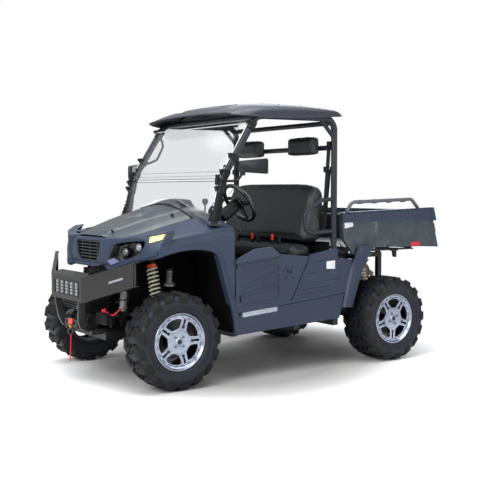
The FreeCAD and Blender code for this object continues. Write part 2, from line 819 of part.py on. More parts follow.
def bumper():
    """A folded plate bumper: a centre face with slots, two swept wings, legs down to the winch."""
    owner = body("bumper_centre")
    plate = S["bumper_plate"]
    face = [(-250, 578), (250, 578), (250, 738), (-250, 738)]
    slots = []
    for number in range(5):
        left = size(-185 + number * 80)
        slots.append([(left, 608), (left + 50, 608), (left + 50, 708), (left, 708)])
    drawn = sketch(owner, "bumper_face", "XZ", -FRONT_Y, [face] + slots)
    pad(owner, "bumper_face_pad", drawn, plate, back=True)
    parts = [owner, box("bumper_back", (-215, 215), (FRONT_Y + 40, FRONT_Y + 44), (590, 730))]
    parts.append(box("bumper_shelf", (-250, 250), (FRONT_Y, FRONT_Y + 80), (738, 744)))
    parts.append(box("bumper_lip", (-250, 250), (FRONT_Y, FRONT_Y + 50), (572, 578)))
    for side, word in LEFT_RIGHT:
        wing = body(f"bumper_wing_{word}")
        inner = [(FRONT_Y, 572), (FRONT_Y + plate, 572), (FRONT_Y + plate, 744), (FRONT_Y, 744)]
        outer_y = FRONT_Y + 205
        outer = [(outer_y, 710), (outer_y + plate, 710), (outer_y + plate, 868), (outer_y, 868)]
        sections = [sketch(wing, f"wing_{word}_inner", "YZ", side * size(250), [inner]),
                    sketch(wing, f"wing_{word}_outer", "YZ", side * size(650), [outer])]
        loft(wing, f"wing_{word}_loft", sections, True)
        parts.append(wing)
        edge = (size(644), size(650)) if side > 0 else (size(-650), size(-644))
        parts.append(box(f"bumper_end_{word}", edge, (FRONT_Y + 206, FRONT_Y + 266), (712, 866)))
        x = side * size(205)
        leg = [(FRONT_Y + 1, 576), (FRONT_Y + 70, 576), (FRONT_Y + 120, 368), (FRONT_Y + 62, 368)]
        parts.append(slab(f"bumper_leg_{word}", "YZ", leg, x - 18, 36))
        parts.append(box(f"bumper_stay_{word}", (x - 16, x + 16),
                         (FRONT_Y + 90, FRAME_FRONT - S["seat_gap"]), (S["rail_bottom"] + 6, 371)))
        parts.append(box(f"bumper_arm_{word}", (x - 12, x + 12),
                         (FRONT_Y + 2, FRONT_AXLE - S["arm_spread"] - 20 - S["seat_gap"]), (640, 680)))
    parts.append(box("bumper_sill", (-222, 222), (FRONT_Y + 64, FRONT_Y + 166), (366, 372)))
    keep("front_bumper", fuse("bumper_joined", parts))


def winch():
    """The winch on its plate: drum, motor, gearbox, fairlead and hook."""
    y = FRONT_Y + 118
    z = size(432)
    drum = cylinder("winch_drum_bar", (-110, y, z), "X", S["winch_drum"], 230)
    motor = cylinder("winch_motor", (90, y, z), "X", 46, 96)
    gears = cylinder("winch_gears", (-180, y, z), "X", 46, 92)
    floor_z = 372 + S["seat_gap"]
    base = box("winch_base", (-180, 184), (FRONT_Y + 66, y + 47), (floor_z, 394))
    fairlead = box("fairlead", (-100, 100), (FRONT_Y + 50, FRONT_Y + 68), (380, 437))
    hang = FRONT_Y + 34
    lead = box("winch_line", (-4, 4), (hang - 8, y - 20), (407, 413))
    hook_bar = rod("hook_shank", (0, hang, 416), (0, hang, 372), 9)
    hook_ring = doc.addObject("Part::Torus", "hook_ring")
    bind(hook_ring, "Radius1", 20)
    bind(hook_ring, "Radius2", 6)
    move(hook_ring, 0, hang, 350, rotation=Rotation(Vector(0, 1, 0), 90))
    keep("winch", fuse("winch_joined", [drum, motor, gears, base, fairlead, lead, hook_bar, hook_ring]))


def winch_strap():
    """The pull strap that hangs from the hook."""
    y = FRONT_Y + 34
    path = [(0, y, 323.5), (3, y - 1, 278), (-2, y - 3, 230), (2, y - 5, 182), (-1, y - 9, 134)]
    keep("winch_strap", pipe("strap_tube", path, 4, 300))


def nose():
    """The front fascia: a swept shell with a grille opening and two lamp recesses."""
    owner = body("nose_shell")
    levels = ((780, 250, 36, 0), (896, 300, 0, 8), (1004, 262, 14, 0))
    drawn = []
    face = NOSE_FACE
    for number, (z, half, back, bulge) in enumerate(levels):
        front = face + back
        outside = [(-700, face + 126), (-600, face + 62 - bulge), (-461, face + 42 - bulge),
                   (-half, front), (half, front), (461, face + 42 - bulge),
                   (600, face + 62 - bulge), (700, face + 126)]
        inside = [(size(x) * 0.985, y + WALL) for x, y in outside]
        drawn.append(sketch(owner, f"nose_level_{number}", "XY", z, [outside + inside[::-1]]))
    loft(owner, "nose_loft", drawn, True)
    doc.recompute()
    for side, word in LEFT_RIGHT:
        under = [(side * 310, 770), (side * 720, 770), (side * 720, 905), (side * 601, 864)]
        trim = sketch(owner, f"nose_under_{word}", "XZ", -(face - 60), [under])
        pocket(owner, f"nose_trim_{word}", trim, 300, back=False)
        lamp = [(side * 335, 868), (side * 585, 900), (side * 610, 985), (side * 372, 968)]
        hole = sketch(owner, f"nose_lamp_{word}", "XZ", -(face - 60), [lamp])
        pocket(owner, f"nose_lamp_cut_{word}", hole, 300, back=False)
    window = [(-190, 822), (190, 822), (205, 960), (185, 988), (-185, 988), (-205, 960)]
    hole = sketch(owner, "nose_grille", "XZ", -(face - 60), [window])
    pocket(owner, "nose_grille_cut", hole, 300, back=False)
    parts = [owner]
    for side, word in LEFT_RIGHT:
        deck = [(side * 311, face + 27), (side * 461, face + 46), (side * 600, face + 66),
                (side * 690, face + 124), (side * 690, face + 131), (side * 382, face + 131)]
        parts.append(slab(f"nose_deck_{word}", "XY", deck, 997, 7))
    axis_y = HOOD_AXIS_Y
    axis_z = S["hood_axis_z"]
    for side, word in LEFT_RIGHT:
        x = side * size(135)
        barrel = cylinder(f"hood_barrel_{word}", (x - 15, axis_y, axis_z), "X", 5, 30)
        strap = box(f"hood_strap_{word}", (x - 15, x + 15), (axis_y - 2, axis_y + 2),
                    (1000, axis_z))
        bore = cylinder(f"hood_bore_{word}", (x - 16, axis_y, axis_z), "X",
                        2.5 + S["pin_clearance"], 32)
        parts.append(cut(f"hood_knuckle_{word}", fuse(f"hood_leaf_{word}", [barrel, strap]), bore))
    keep("nose", fuse("nose_joined", parts))


def nose_back(z):
    """How far the nose's front face lies behind its foremost line at a height."""
    low, middle, high = 780, 896, 1004
    if z < middle:
        return 36 * (middle - z) / (middle - low)
    return 14 * (z - middle) / (high - middle)


def grille():
    """Slats across the grille opening, on two posts behind the opening's edges."""
    parts = []
    for number in range(6):
        z = 832 + number * 29
        y = NOSE_FACE + nose_back(z) + WALL + 3
        parts.append(box(f"slat_{number}", (-196, 196), (y, y + GRILLE_DEEP - 5), (z, z + 9)))
    levels = (830, 896, 984)
    for side, word in LEFT_RIGHT:
        front = [(NOSE_FACE + nose_back(z) + WALL + 0.8, z) for z in levels]
        back = [(y + GRILLE_DEEP - 0.8, z) for y, z in reversed(front)]
        parts.append(slab(f"grille_post_{word}", "YZ", front + back, side * size(214) - 22, 44))
    keep("grille", fuse("grille_joined", parts))


def headlamps():
    """Two round lamps a side on a dark backing."""
    face = NOSE_FACE

    def make(name):
        inner = cylinder(name + "_inner", (461, face + 54, 926), "Y", 34, 60)
        outer = cylinder(name + "_outer", (556, face + 72, 948), "Y", 34, 50)
        back = box(name + "_back", (310, 620), (face + 108, face + 116), (862, 990))
        stay = box(name + "_stay", (310, 330), (face + 20.7, face + 112), (914, 936))
        return fuse(name, [inner, outer, back, stay])

    keep("headlamps", group("headlamp_pieces", pair("headlamp", make)))


def hood():
    """The tilting hood: a crowned shell with hinge knuckles at its front edge."""
    stations = ((FRONT_Y + 200, [(0, 1020), (100, 1020), (165, 1022), (182, 1017), (300, 1012)]),
                (FRONT_Y + 357, [(0, 1085), (110, 1084), (215, 1085), (234, 1074), (385, 1038)]),
                (FRONT_Y + 557, [(0, 1155), (120, 1153), (250, 1149), (270, 1136), (415, 1092)]),
                (FRONT_Y + 767, [(0, 1226), (130, 1222), (285, 1204), (305, 1192), (440, 1145)]))
    parts = [lofted_panel("hood_panel", stations, strip, straight=True)]
    axis_y = HOOD_AXIS_Y
    axis_z = S["hood_axis_z"]
    for side, word in LEFT_RIGHT:
        x = side * size(168)
        parts.append(cylinder(f"hood_hinge_{word}", (x - 16, axis_y, axis_z), "X", 5, 32))
        pin = side * size(150)
        parts.append(cylinder(f"hood_pin_{word}", (pin - 30, axis_y, axis_z), "X", 2.5, 60))
        parts.append(box(f"hood_leaf_{word}", (x - 16, x + 16), (axis_y, FRONT_Y + 204),
                         (axis_z, axis_z + 5)))
    keep("hood", fuse("hood_joined", parts))


def front_fenders():
    """The body sides over the front wheels, from the nose to the cab."""
    stations = ((FRONT_Y + 304.3, [(369, 1028), (560, 1022), (690, 1004), (BODY, 940), (BODY, 320)]),
                (FRONT_Y + 357, [(394, 1040), (566, 1032), (690, 1012), (BODY, 945), (BODY, 320)]),
                (FRONT_Y + 557, [(424, 1090), (588, 1064), (690, 1036), (BODY, 962), (BODY, 320)]),
                (FRONT_Y + 767, [(449, 1142), (600, 1092), (690, 1062), (BODY, 980), (BODY, 320)]),
                (FRONT_Y + 948, [(449, 1150), (600, 1110), (690, 1076), (BODY, 990), (BODY, 320)]))
    hinge_y = S["door_axis_y"]
    hinge_x = BODY + S["door_axis_out"]

    def make(name):
        owner = lofted_panel(name, stations, side_strip, straight=True)
        doc.recompute()
        arch = [(FRONT_Y + 200, 300), (FRONT_Y + 200, 893), (FRONT_Y + 304, 896),
                (FRONT_Y + 388, 912), (FRONT_Y + 500, 935), (FRONT_Y + 620, 943),
                (FRONT_Y + 730, 933), (FRONT_Y + 818, 901), (FRONT_Y + 955, 420),
                (FRONT_Y + 960, 300)]
        cutter = sketch(owner, name + "_arch", "YZ", 640, [arch])
        pocket(owner, name + "_arch_cut", cutter, 120, back=True)
        flare = arch[2:8] + [(-660, 795), (-612, 630), (-584, 530), (-566, 470), (-566, 575), (-576, 620),
                             (-604, 725), (-642, 855), (-672, 915), (-770, 954), (-887, 964),
                             (-1007, 957), (-1119, 934), (FRONT_Y + 304, 918)]
        parts = [owner, slab(name + "_flare", "YZ", flare, BODY - 1, 9)]
        for number, z in enumerate(HINGE_LEVELS):
            parts.append(cylinder(f"{name}_hinge_{number}", (hinge_x, hinge_y, z), "Z", 7, 18))
            parts.append(cylinder(f"{name}_pin_{number}", (hinge_x, hinge_y, z), "Z", 3.5, 36))
            parts.append(box(f"{name}_leaf_{number}", (BODY - 4, hinge_x), (hinge_y - 26, hinge_y),
                             (z, z + 18)))
        return fuse(name + "_joined", parts)

    keep("front_fenders", group("fender_pieces", pair("fender", make)))


def cowl():
    """The panel between the hood and the windscreen, with its centre hump."""
    edge = 449 - S["seat_gap"]
    stations = ((FRONT_Y + 774, [(0, 1232), (200, 1220), (350, 1182), (edge, 1142)]),
                (FRONT_Y + 860, [(0, 1262), (180, 1248), (340, 1194), (edge, 1146)]),
                (FRONT_Y + 948, [(0, 1275), (160, 1258), (330, 1200), (edge, 1150)]))
    keep("cowl", lofted_panel("cowl_panel", stations, strip, straight=True))


def dash():
    """The dashboard block and the steering column."""
    y = S["cab_front_y"] + 5 + S["seat_gap"]
    profile = [(y, 950), (y + 110, 920), (y + 160, 960), (y + 175, 1040), (y + 120, 1100), (y, 1100)]
    shell = slab("dash_shell", "YZ", profile, 0, 1080, middle=True)
    end = wheel_centre()
    foot = tuple(Vector(*end) - wheel_axis() * 290)
    column = rod("steering_column", foot, tuple(Vector(*end) - wheel_axis() * 18.3), 19)
    keep("dash", fuse("dash_joined", [shell, column]))


def wheel_axis():
    """The steering wheel's axis, towards the driver."""
    tilt = math.radians(33)
    return Vector(0, math.cos(tilt), math.sin(tilt))


def wheel_centre():
    """The steering wheel's centre."""
    return (float(S["steering_x"]), float(FRONT_Y) + 1240, 1245)


def steering_wheel():
    """Rim, hub and three spokes, made flat and then tilted."""
    ring = doc.addObject("Part::Torus", "steering_ring")
    bind(ring, "Radius1", S["steering_radius"] - S["steering_grip"])
    bind(ring, "Radius2", S["steering_grip"])
    hub = cylinder("steering_hub", (0, 0, -18), "Z", 45, 26)
    parts = [ring, hub]
    reach = S["steering_radius"] - S["steering_grip"]
    for number, angle in enumerate((0, 90, 180)):
        way = Vector(math.cos(math.radians(angle)), math.sin(math.radians(angle)), 0)
        parts.append(rod(f"steering_spoke_{number}", (0, 0, -6), tuple(way * float(reach)), 9))
    joined = fuse("steering_joined", parts)
    joined.Placement = Placement(Vector(*wheel_centre()), Rotation(Vector(0, 0, 1), wheel_axis()))
    keep("steering_wheel", joined)


def floor():
    """The cab floor: a bent sheet from the toe board to the seat."""
    y = S["cab_front_y"]
    z = RAIL_TOP + S["seat_gap"]
    rear = S["seat_front_y"]
    top = 1072
    profile = [(y, top), (y, z + 170), (y + 60, z), (rear, z), (rear, z + 5), (y + 63, z + 5),
               (y + 5, z + 171), (y + 5, top)]
    keep("floor", slab("floor_sheet", "YZ", profile, 0, 2 * (BODY - S["sill_width"] - GAP),
                       middle=True))


def sills():
    """The rocker beams under the doors and side panels."""
    outline = [(-536, 320), (-500, 470), (470, 552), (440, 433), (420, 366)]

    def make(name):
        return slab(name, "YZ", outline, BODY - S["sill_width"], S["sill_width"])

    keep("sills", group("sill_pieces", pair("sill", make)))


def side_panels():
    """The body sides behind the doors, with the rear wheel's lip."""
    outline = [(-51, 511), (472, 553), (451, 439), (553, 447), Arc(-560), (717, 804), (550, 812),
               (402, 820), (396, 902), (139.5, 864)]

    flutes = ((128, 798, 264, 814), (84, 718, 430, 742), (40, 640, 430, 672), (20, 600, 330, 620),
              (0, 562, 330, 586))
    guard = [(470, 441), (553, 447), Arc(-560), (717, 804), (622, 808), Arc(700)]

    def make(name):
        panel = slab(name + "_sheet", "YZ", outline, BODY - 22, 22)
        grooves = [slab(f"{name}_flute_{number}", "YZ", [(y0, z0), (y1, z1), (y1, z1 + 7), (y0, z0 + 7)],
                        BODY - 3, 6) for number, (y0, z0, y1, z1) in enumerate(flutes)]
        pressed = cut(name + "_pressed", panel, group(name + "_flutes", grooves))
        return fuse(name, [pressed, slab(name + "_guard", "YZ", guard, BODY - 1, 9)])

    keep("side_panels", group("side_panel_pieces", pair("side_panel", make)))


def seat_base():
    """The moulded box that carries the seat."""
    y = S["seat_front_y"]
    top = S["seat_base_top"]
    base = RAIL_TOP + S["seat_gap"]
    profile = [(y + 0.5, base), (y + 0.5, top), (S["b_pillar_y"] - 30, top + 30),
               (S["b_pillar_y"] - 30, base)]
    keep("seat_base", slab("seat_box", "YZ", profile, 0, 2 * SEAT_HALF, middle=True))


def seat():
    """Bench cushion, back rest and two head rests."""
    top = S["seat_base_top"] + S["seat_gap"]
    y = S["seat_front_y"]
    rise = top + S["cushion_thick"]
    slope = 30 / (S["b_pillar_y"] - 30 - y)
    cushion = [(y - 25, top - 25 * slope), (y - 30, rise - 30), (y, rise), (y + 190, rise - 8),
               (y + 190, top + 190 * slope)]
    keep("seat_cushion", slab("cushion_block", "YZ", cushion, 0, 2 * SEAT_HALF, middle=True))
    rear = S["b_pillar_y"] - S["cross_tube"] - S["seat_gap"]
    back = [(y + 95, rise + 1), (y + 200, 1365), (y + 225, 1396), (y + 280, 1394), (y + 296, 1360),
            (rear, 1030), (rear, 970), (rear - 60, rise + 1)]
    keep("seat_back", slab("back_block", "YZ", back, 0, 2 * SEAT_HALF, middle=True))

    def make(name):
        rest = [(180, 1640), (210, 1610), (490, 1610), (520, 1640), (520, 1720), (490, 1750),
                (210, 1750), (180, 1720)]
        return slab(name, "XZ", rest, -(S["b_pillar_y"] - S["cross_tube"] - S["seat_gap"]), 85)

    keep("headrests", group("headrest_pieces", pair("headrest", make)))


def seat_belts():
    """Two shoulder belts from the cage to the seat, each with its anchor."""
    rear = S["b_pillar_y"]
    out = CAGE_X - TUBE - S["seat_gap"]

    def make(name):
        strap = [(rear - 10, 1500), (rear - 7, 1500), (345, 1010), (342, 1010)]
        anchor = box(name + "_anchor", (out - 12, out), (rear - 12, rear + 8), (1490, 1520))
        return fuse(name, [slab(name + "_strap", "YZ", strap, out - 34, 33), anchor])

    keep("seat_belts", group("belt_pieces", pair("belt", make)))


PILLAR = (Vector(0, -688, 1106), Vector(0, -614, 1425), Vector(0, -325, 1872))
SCREEN_OUT = 32


def pillar_normal(part):
    """The direction that faces forward from a straight part of the front pillar."""
    along = (PILLAR[part + 1] - PILLAR[part]).normalize()
    return Vector(0, -along.z, along.y)


def cage():
    """The roll cage: a side hoop each side with its hip bow, screen clamps, and the cross tubes."""
    top = S["roof_rail_z"]
    rear = S["b_pillar_y"]
    bow_radius = S["bow_tube"]

    def hoop(name):
        main = pipe(name + "_hoop", [(CAGE_X, PILLAR[0].y, PILLAR[0].z), (CAGE_X, PILLAR[1].y, PILLAR[1].z),
                                     (CAGE_X, PILLAR[2].y, top), (CAGE_X, rear, top + 10),
                                     (CAGE_X, rear, RAIL_TOP + S["seat_gap"])],
                    TUBE, S["cage_bend"])
        bow = pipe(name + "_bow", [(CAGE_X, rear, 1274), (CAGE_X, 287, 1267), (CAGE_X, 123, 1178),
                                   (CAGE_X, 123, 1059), (CAGE_X, 162, 1021), (CAGE_X, rear, 1030)],
                   bow_radius, 60)
        foot = box(name + "_foot", (CAGE_X - 32, CAGE_X + 32), (-728, -650), (1094.6, 1106))
        brace = rod(name + "_brace", (CAGE_X, 270, top), (CAGE_X, rear, 1735), bow_radius)
        parts = [main, bow, foot, brace]
        for number, (part, share) in enumerate(((0, 0.35), (0, 0.85), (1, 0.15), (1, 0.85))):
            seat = PILLAR[part] + (PILLAR[part + 1] - PILLAR[part]) * share
            end = seat + pillar_normal(part) * (SCREEN_OUT - 0.3)
            parts.append(rod(f"{name}_clamp_{number}", (CAGE_X - 8, seat.y, seat.z),
                             (CAGE_X - 8, end.y, end.z), 13))
        return fuse(name, parts)

    sides = pair("cage_side", hoop)
    handle = pipe("grab_handle", [(-CAGE_X, -410, 1780), (-CAGE_X, -349, 1757), (-CAGE_X, -339, 1700),
                                  (-CAGE_X, -397, 1591), (-CAGE_X, -470, 1562), (-CAGE_X, -535, 1557)],
                  9, 40)
    sides[1] = fuse("cage_side_right_joined", [sides[1], handle])
    keep("cage_sides", group("cage_side_pieces", sides))
    inner = CAGE_X - TUBE - S["seat_gap"]
    parts = []
    for number, (y, z) in enumerate(((-300, top), (rear, top - 20), (rear, 1665), (rear, 1000))):
        parts.append(cylinder(f"cross_tube_{number}", (-inner, y, z), "X", S["cross_tube"], 2 * inner))
    keep("cage_cross", group("cage_cross_pieces", parts))


def between(stations, y):
    """A half outline at a place between two stations of a straight loft."""
    for (y0, first), (y1, second) in zip(stations, stations[1:]):
        if float(y0) <= y <= float(y1):
            share = (y - float(y0)) / (float(y1) - float(y0))
            return [(a[0] + (b[0] - a[0]) * share, a[1] + (b[1] - a[1]) * share)
                    for a, b in zip(first, second)]
    raise ValueError("outside the stations")


def roof():
    """The moulded roof shell, on two cross ribs that rest on the roof rails."""
    rear = S["b_pillar_y"]
    stations = ((FRONT_Y + 1010, [(0, 1905), (300, 1902), (520, 1893), (560, 1886), (590, 1876)]),
                (FRONT_Y + 1100, [(0, 1950), (330, 1946), (560, 1926), (640, 1900), (668, 1868)]),
                (FRONT_Y + 1240, [(0, 1984), (340, 1979), (580, 1958), (676, 1922), (700, 1858)]),
                (FRONT_Y + 1580, [(0, 1996), (350, 1991), (590, 1969), (682, 1934), (705, 1876)]),
                (rear - 40, [(0, 1980), (345, 1976), (590, 1958), (680, 1936), (702, 1896)]),
                (rear + 40, [(0, 1950), (340, 1947), (580, 1938), (660, 1925), (684, 1904)]))
    parts = [lofted_panel("roof_shell", stations, strip, straight=True)]
    rise = 10 / (rear - PILLAR[2].y)
    for number, y in enumerate((FRONT_Y + 1320, rear - 120)):
        low = S["roof_rail_z"] + rise * (y + 30 - PILLAR[2].y) + TUBE + S["seat_gap"]
        crown = [(x, z - WALL / 2) for x, z in between(stations, float(y + 15))[:-1]]
        ends = [(668, low + 16), (668, low)]
        half = crown + ends
        rib = half + [(-x, z) for x, z in reversed(half[1:])]
        parts.append(slab(f"roof_rib_{number}", "XZ", rib, -y, 30))
    keep("roof", fuse("roof_joined", parts))


def screen_strip(part, low, high):
    """A side outline of one screen panel, in front of a straight part of the pillar."""
    along = (PILLAR[part + 1] - PILLAR[part]).normalize()
    way = pillar_normal(part)
    near = [PILLAR[part] + along * reach + way * SCREEN_OUT for reach in (low, high)]
    far = [point + way * float(S["glass_thick"]) for point in near]
    return [(point.y, point.z) for point in (near[0], near[1], far[1], far[0])]


def windscreen():
    """Two clear panels in front of the pillars; the lower one follows the cowl."""
    upper_run = (PILLAR[2] - PILLAR[1]).Length
    panels = [slab("screen_upper", "YZ", screen_strip(1, -28, upper_run - 62), 0, 2 * CAGE_X,
                   middle=True)]
    owner = slab("screen_lower", "YZ", screen_strip(0, 30, 300), 0, 2 * CAGE_X, middle=True)
    doc.recompute()
    below = [(-700, 1050), (700, 1050), (700, 1118), (600, 1124), (446, 1166), (340, 1222),
             (180, 1264), (0, 1280), (-180, 1264), (-340, 1222), (-446, 1166), (-600, 1124),
             (-700, 1118)]
    trim = sketch(owner, "screen_trim", "XZ", -(FRONT_Y + 700), [below])
    pocket(owner, "screen_trim_cut", trim, 300)
    panels.append(owner)
    keep("windscreen", group("screen_panels", panels))


def mirrors():
    """Two side mirrors on arms from the front pillars."""
    def make(name):
        arm = pipe(name + "_arm", [(CAGE_X + TUBE + 1.4, -618, 1405), (CAGE_X + 135, -590, 1408),
                                   (CAGE_X + 150, -566, 1440), (CAGE_X + 162, -560, 1500)], 9, 30)
        owner = body(name + "_housing")
        outline = [(0, -42), (10, -46), (190, -54), (200, -46), (200, 46), (190, 52), (10, 42), (0, 38)]
        drawn = sketch(owner, name + "_face", "XZ", 0, [outline])
        pad(owner, name + "_pad", drawn, 26, middle=True)
        owner.Placement = Placement(Vector(float(CAGE_X) + 135, -574, 1505), Rotation(Vector(0, 0, 1), 44.5))
        return fuse(name, [arm, owner])

    keep("mirrors", group("mirror_pieces", pair("mirror", make)))


def doors():
    """The cab doors, hinged at the front edge, with a slanted rear edge."""
    hinge_y = S["door_axis_y"]
    hinge_x = BODY + S["door_axis_out"]
    outline = [(hinge_y + 12, 475), (-58, 516), (122, 850), (-150, 879), (-223, 932),
               (-356, 923), (-530, 853), (hinge_y + 8, 839)]

    def make(name):
        parts = [slab(name + "_panel", "YZ", outline, BODY - S["door_thick"], S["door_thick"])]
        for number, level in enumerate(HINGE_LEVELS):
            z = level + 18.5
            parts.append(cylinder(f"{name}_barrel_{number}", (hinge_x, hinge_y, z), "Z", 7, 18))
            parts.append(box(f"{name}_leaf_{number}", (BODY - 4, hinge_x), (hinge_y, hinge_y + 30),
                             (z, z + 18)))
        fields = ([(-500, 658), (-500, 772), (-165, 806), (-165, 755)],
                  [(-500, 597), (-500, 642), (-165, 739), (-165, 672)],
                  [(-500, 545), (-500, 581), (-165, 656), (-165, 578), (-192, 552), (-468, 528)])
        solid = cut(name + "_pressed", fuse(name + "_solid", parts), group(name + "_fields", [
            slab(f"{name}_field_{number}", "YZ", field, BODY - 5, 10)
            for number, field in enumerate(fields)]))
        bores = [cylinder(f"{name}_bore_{number}", (hinge_x, hinge_y, level + 18), "Z",
                          3.5 + S["pin_clearance"], 19)
                 for number, level in enumerate(HINGE_LEVELS)]
        return cut(name, solid, group(name + "_bores", bores))

    left, right = pair("door", make)
    keep("door_left", left)
    keep("door_right", right)


def bed_rear_line(z):
    """Where the bed's slanted rear edge lies at a height."""
    top = (float(BED_REAR), 1192)
    bottom = (float(REAR_Y), 873)
    return bottom[0] + (top[0] - bottom[0]) * (z - bottom[1]) / (top[1] - bottom[1])


def bed():
    """The tipping load bed: a tub with thick walls, its rails, tailgate and lamps."""
    front = S["bed_front_y"]
    rear = BED_REAR
    wall = S["bed_wall"]
    side = [(front, 1160), (front + 30, 958), (front + 122, 850), (front + 363, 893),
            (REAR_Y - 213, 883), (REAR_Y, 873),
            (rear, 1192)]
    owner = slab("bed_tub", "YZ", side, 0, 2 * BED_HALF, middle=True)
    doc.recompute()
    inner = BED_HALF - wall
    load = [(-inner, front + wall), (inner, front + wall), (inner, REAR_Y + 20), (-inner, REAR_Y + 20)]
    hollow = sketch(owner, "bed_load_space", "XY", S["bed_floor_z"], [load])
    pocket(owner, "bed_load_cut", hollow, 400, back=True)
    under = [(-inner, front - 10), (inner, front - 10), (inner, REAR_Y + 20), (-inner, REAR_Y + 20)]
    below = sketch(owner, "bed_under_space", "XY", BED_UNDER, [under])
    pocket(owner, "bed_under_cut", below, 200)
    gate_y = REAR_Y - S["gate_axis_ahead"]
    gate_z = S["gate_axis_z"]
    room = [(-inner, gate_y - 28), (inner, gate_y - 28), (inner, REAR_Y + 20), (-inner, REAR_Y + 20)]
    notch = sketch(owner, "bed_gate_space", "XY", BED_UNDER - 40, [room])
    pocket(owner, "bed_gate_cut", notch, 400, back=True)
    pin_radius = 5
    bore = sketch(owner, "gate_bore", "YZ", 0, [(gate_y, gate_z, pin_radius + S["pin_clearance"])])
    pocket(owner, "gate_bore_cut", bore, 2 * (inner + 14), middle=True)
    parts = [owner]
    cap = [(front + 1, 1159), (front + 9, 1098), (bed_rear_line(1098) + 14, 1098), (rear + 10, 1191)]
    for hand, word in LEFT_RIGHT:
        start = BED_HALF - 1 if hand > 0 else -BED_HALF - 7
        parts.append(slab(f"bed_cap_{word}", "YZ", cap, start, 8))
    y = BED_PIVOT_Y
    z = S["bed_pivot_z"]
    for hand, word in LEFT_RIGHT:
        lug = [(y - 22, z - 14), (y + 22, z - 14), (y + 22, BED_UNDER + 14),
               (y - 22, BED_UNDER + 14)]
        parts.append(slab(f"bed_lug_{word}", "YZ", lug, hand * size(244) - 8, 16))
        start = size(199) if hand > 0 else size(-253)
        parts.append(cylinder(f"bed_pin_{word}", (start, y, z), "X", S["bed_pin"], 54))
    keep("bed_box", fuse("bed_joined", parts))

    def rail(name):
        x = BED_HALF - wall / 2
        tube = pipe(name + "_tube", [(x, front + 66, 1174), (x, front + 118, 1249),
                                     (x, rear - 215, 1269), (x, rear - 142, 1198)],
                    S["bed_rail_tube"], 60)
        feet = [box(name + "_foot_0", (x - 13, x + 13), (front + 42, front + 84), (1163.1, 1171)),
                box(name + "_foot_1", (x - 13, x + 13), (rear - 156, rear - 118), (1188.5, 1196))]
        return fuse(name, [tube] + feet)

    keep("bed_rails", group("bed_rail_pieces", pair("bed_rail", rail)))
    thick = S["tailgate_thick"]
    outer = [(bed_rear_line(z) - 4, z) for z in (880, 1184)]
    gate = [outer[0], outer[1], (outer[1][0] - thick, 1180), (outer[0][0] - thick, 880)]
    end = inner - GAP
    panel = slab("tailgate_panel", "YZ", gate, 0, 2 * end, middle=True)
    pins = [cylinder(f"gate_pin_{word}", (hand * size(end + 2) - 12, gate_y, gate_z), "X",
                     pin_radius, 24) for hand, word in LEFT_RIGHT]
    keep("tailgate", fuse("tailgate_joined", [panel] + pins))

    def lamp(name):
        near = [(bed_rear_line(z) + 0.4, z) for z in (1000, 1070)]
        outline = near + [(y + 12, z) for y, z in reversed(near)]
        return slab(name, "YZ", outline, BED_HALF - wall + 2, wall - 6)

    keep("tail_lamps", group("tail_lamp_pieces", pair("tail_lamp", lamp)))


def check_and_write():
    """Stops on any failed object, then writes each sub-part."""
    doc.recompute()
    faults = [f"{thing.Label} failed: {thing.State}" for thing in doc.Objects
              if "Invalid" in thing.State or "Error" in thing.State]
    for name, thing in NODES:
        shape = thing.Shape
        if shape.isNull() or not shape.isValid() or not shape.Solids:
            faults.append(f"{name} has no valid solid")
    if faults:
        raise RuntimeError("; ".join(faults))
    os.makedirs("parts", exist_ok=True)
    for name, thing in NODES:
        shape = thing.Shape
        shape.exportStep(f"parts/{name}.step")
        low = shape.BoundBox
        print(f"{name}: {len(shape.Solids)} solids, x {low.XMin:.0f} {low.XMax:.0f},"
              f" y {low.YMin:.0f} {low.YMax:.0f}, z {low.ZMin:.0f} {low.ZMax:.0f}")


frame()
hitch()
wheels()
knuckles()
suspension()
half_shafts()
shocks()
engine()
bumper()
winch()
winch_strap()
nose()
grille()
headlamps()
hood()
front_fenders()
cowl()
dash()
steering_wheel()
floor()
sills()
side_panels()
seat_base()
seat()
seat_belts()
cage()
roof()
windscreen()
mirrors()
doors()
bed()
check_and_write()
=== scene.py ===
import math

import bmesh
import bpy
from mathutils import Matrix, Vector


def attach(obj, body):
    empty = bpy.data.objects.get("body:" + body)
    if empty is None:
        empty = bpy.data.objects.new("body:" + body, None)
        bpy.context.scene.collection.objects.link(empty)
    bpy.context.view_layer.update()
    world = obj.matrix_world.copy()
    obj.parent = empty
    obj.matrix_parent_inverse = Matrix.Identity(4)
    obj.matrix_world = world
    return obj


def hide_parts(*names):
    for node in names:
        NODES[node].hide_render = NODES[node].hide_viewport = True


# The looks of a side by side utility vehicle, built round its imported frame.
# Shapes are given in millimetres in the row frame: +X is the vehicle's left, -Y its front, +Z up.

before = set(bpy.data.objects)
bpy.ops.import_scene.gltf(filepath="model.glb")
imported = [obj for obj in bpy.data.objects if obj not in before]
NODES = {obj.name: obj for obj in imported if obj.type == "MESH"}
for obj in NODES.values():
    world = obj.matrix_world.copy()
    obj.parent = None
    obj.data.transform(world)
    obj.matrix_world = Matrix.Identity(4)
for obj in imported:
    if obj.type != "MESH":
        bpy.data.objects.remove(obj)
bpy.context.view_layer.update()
MM = 0.001
SIDES = ((1, "left"), (-1, "right"))


# ---------------------------------------------------------------- lines

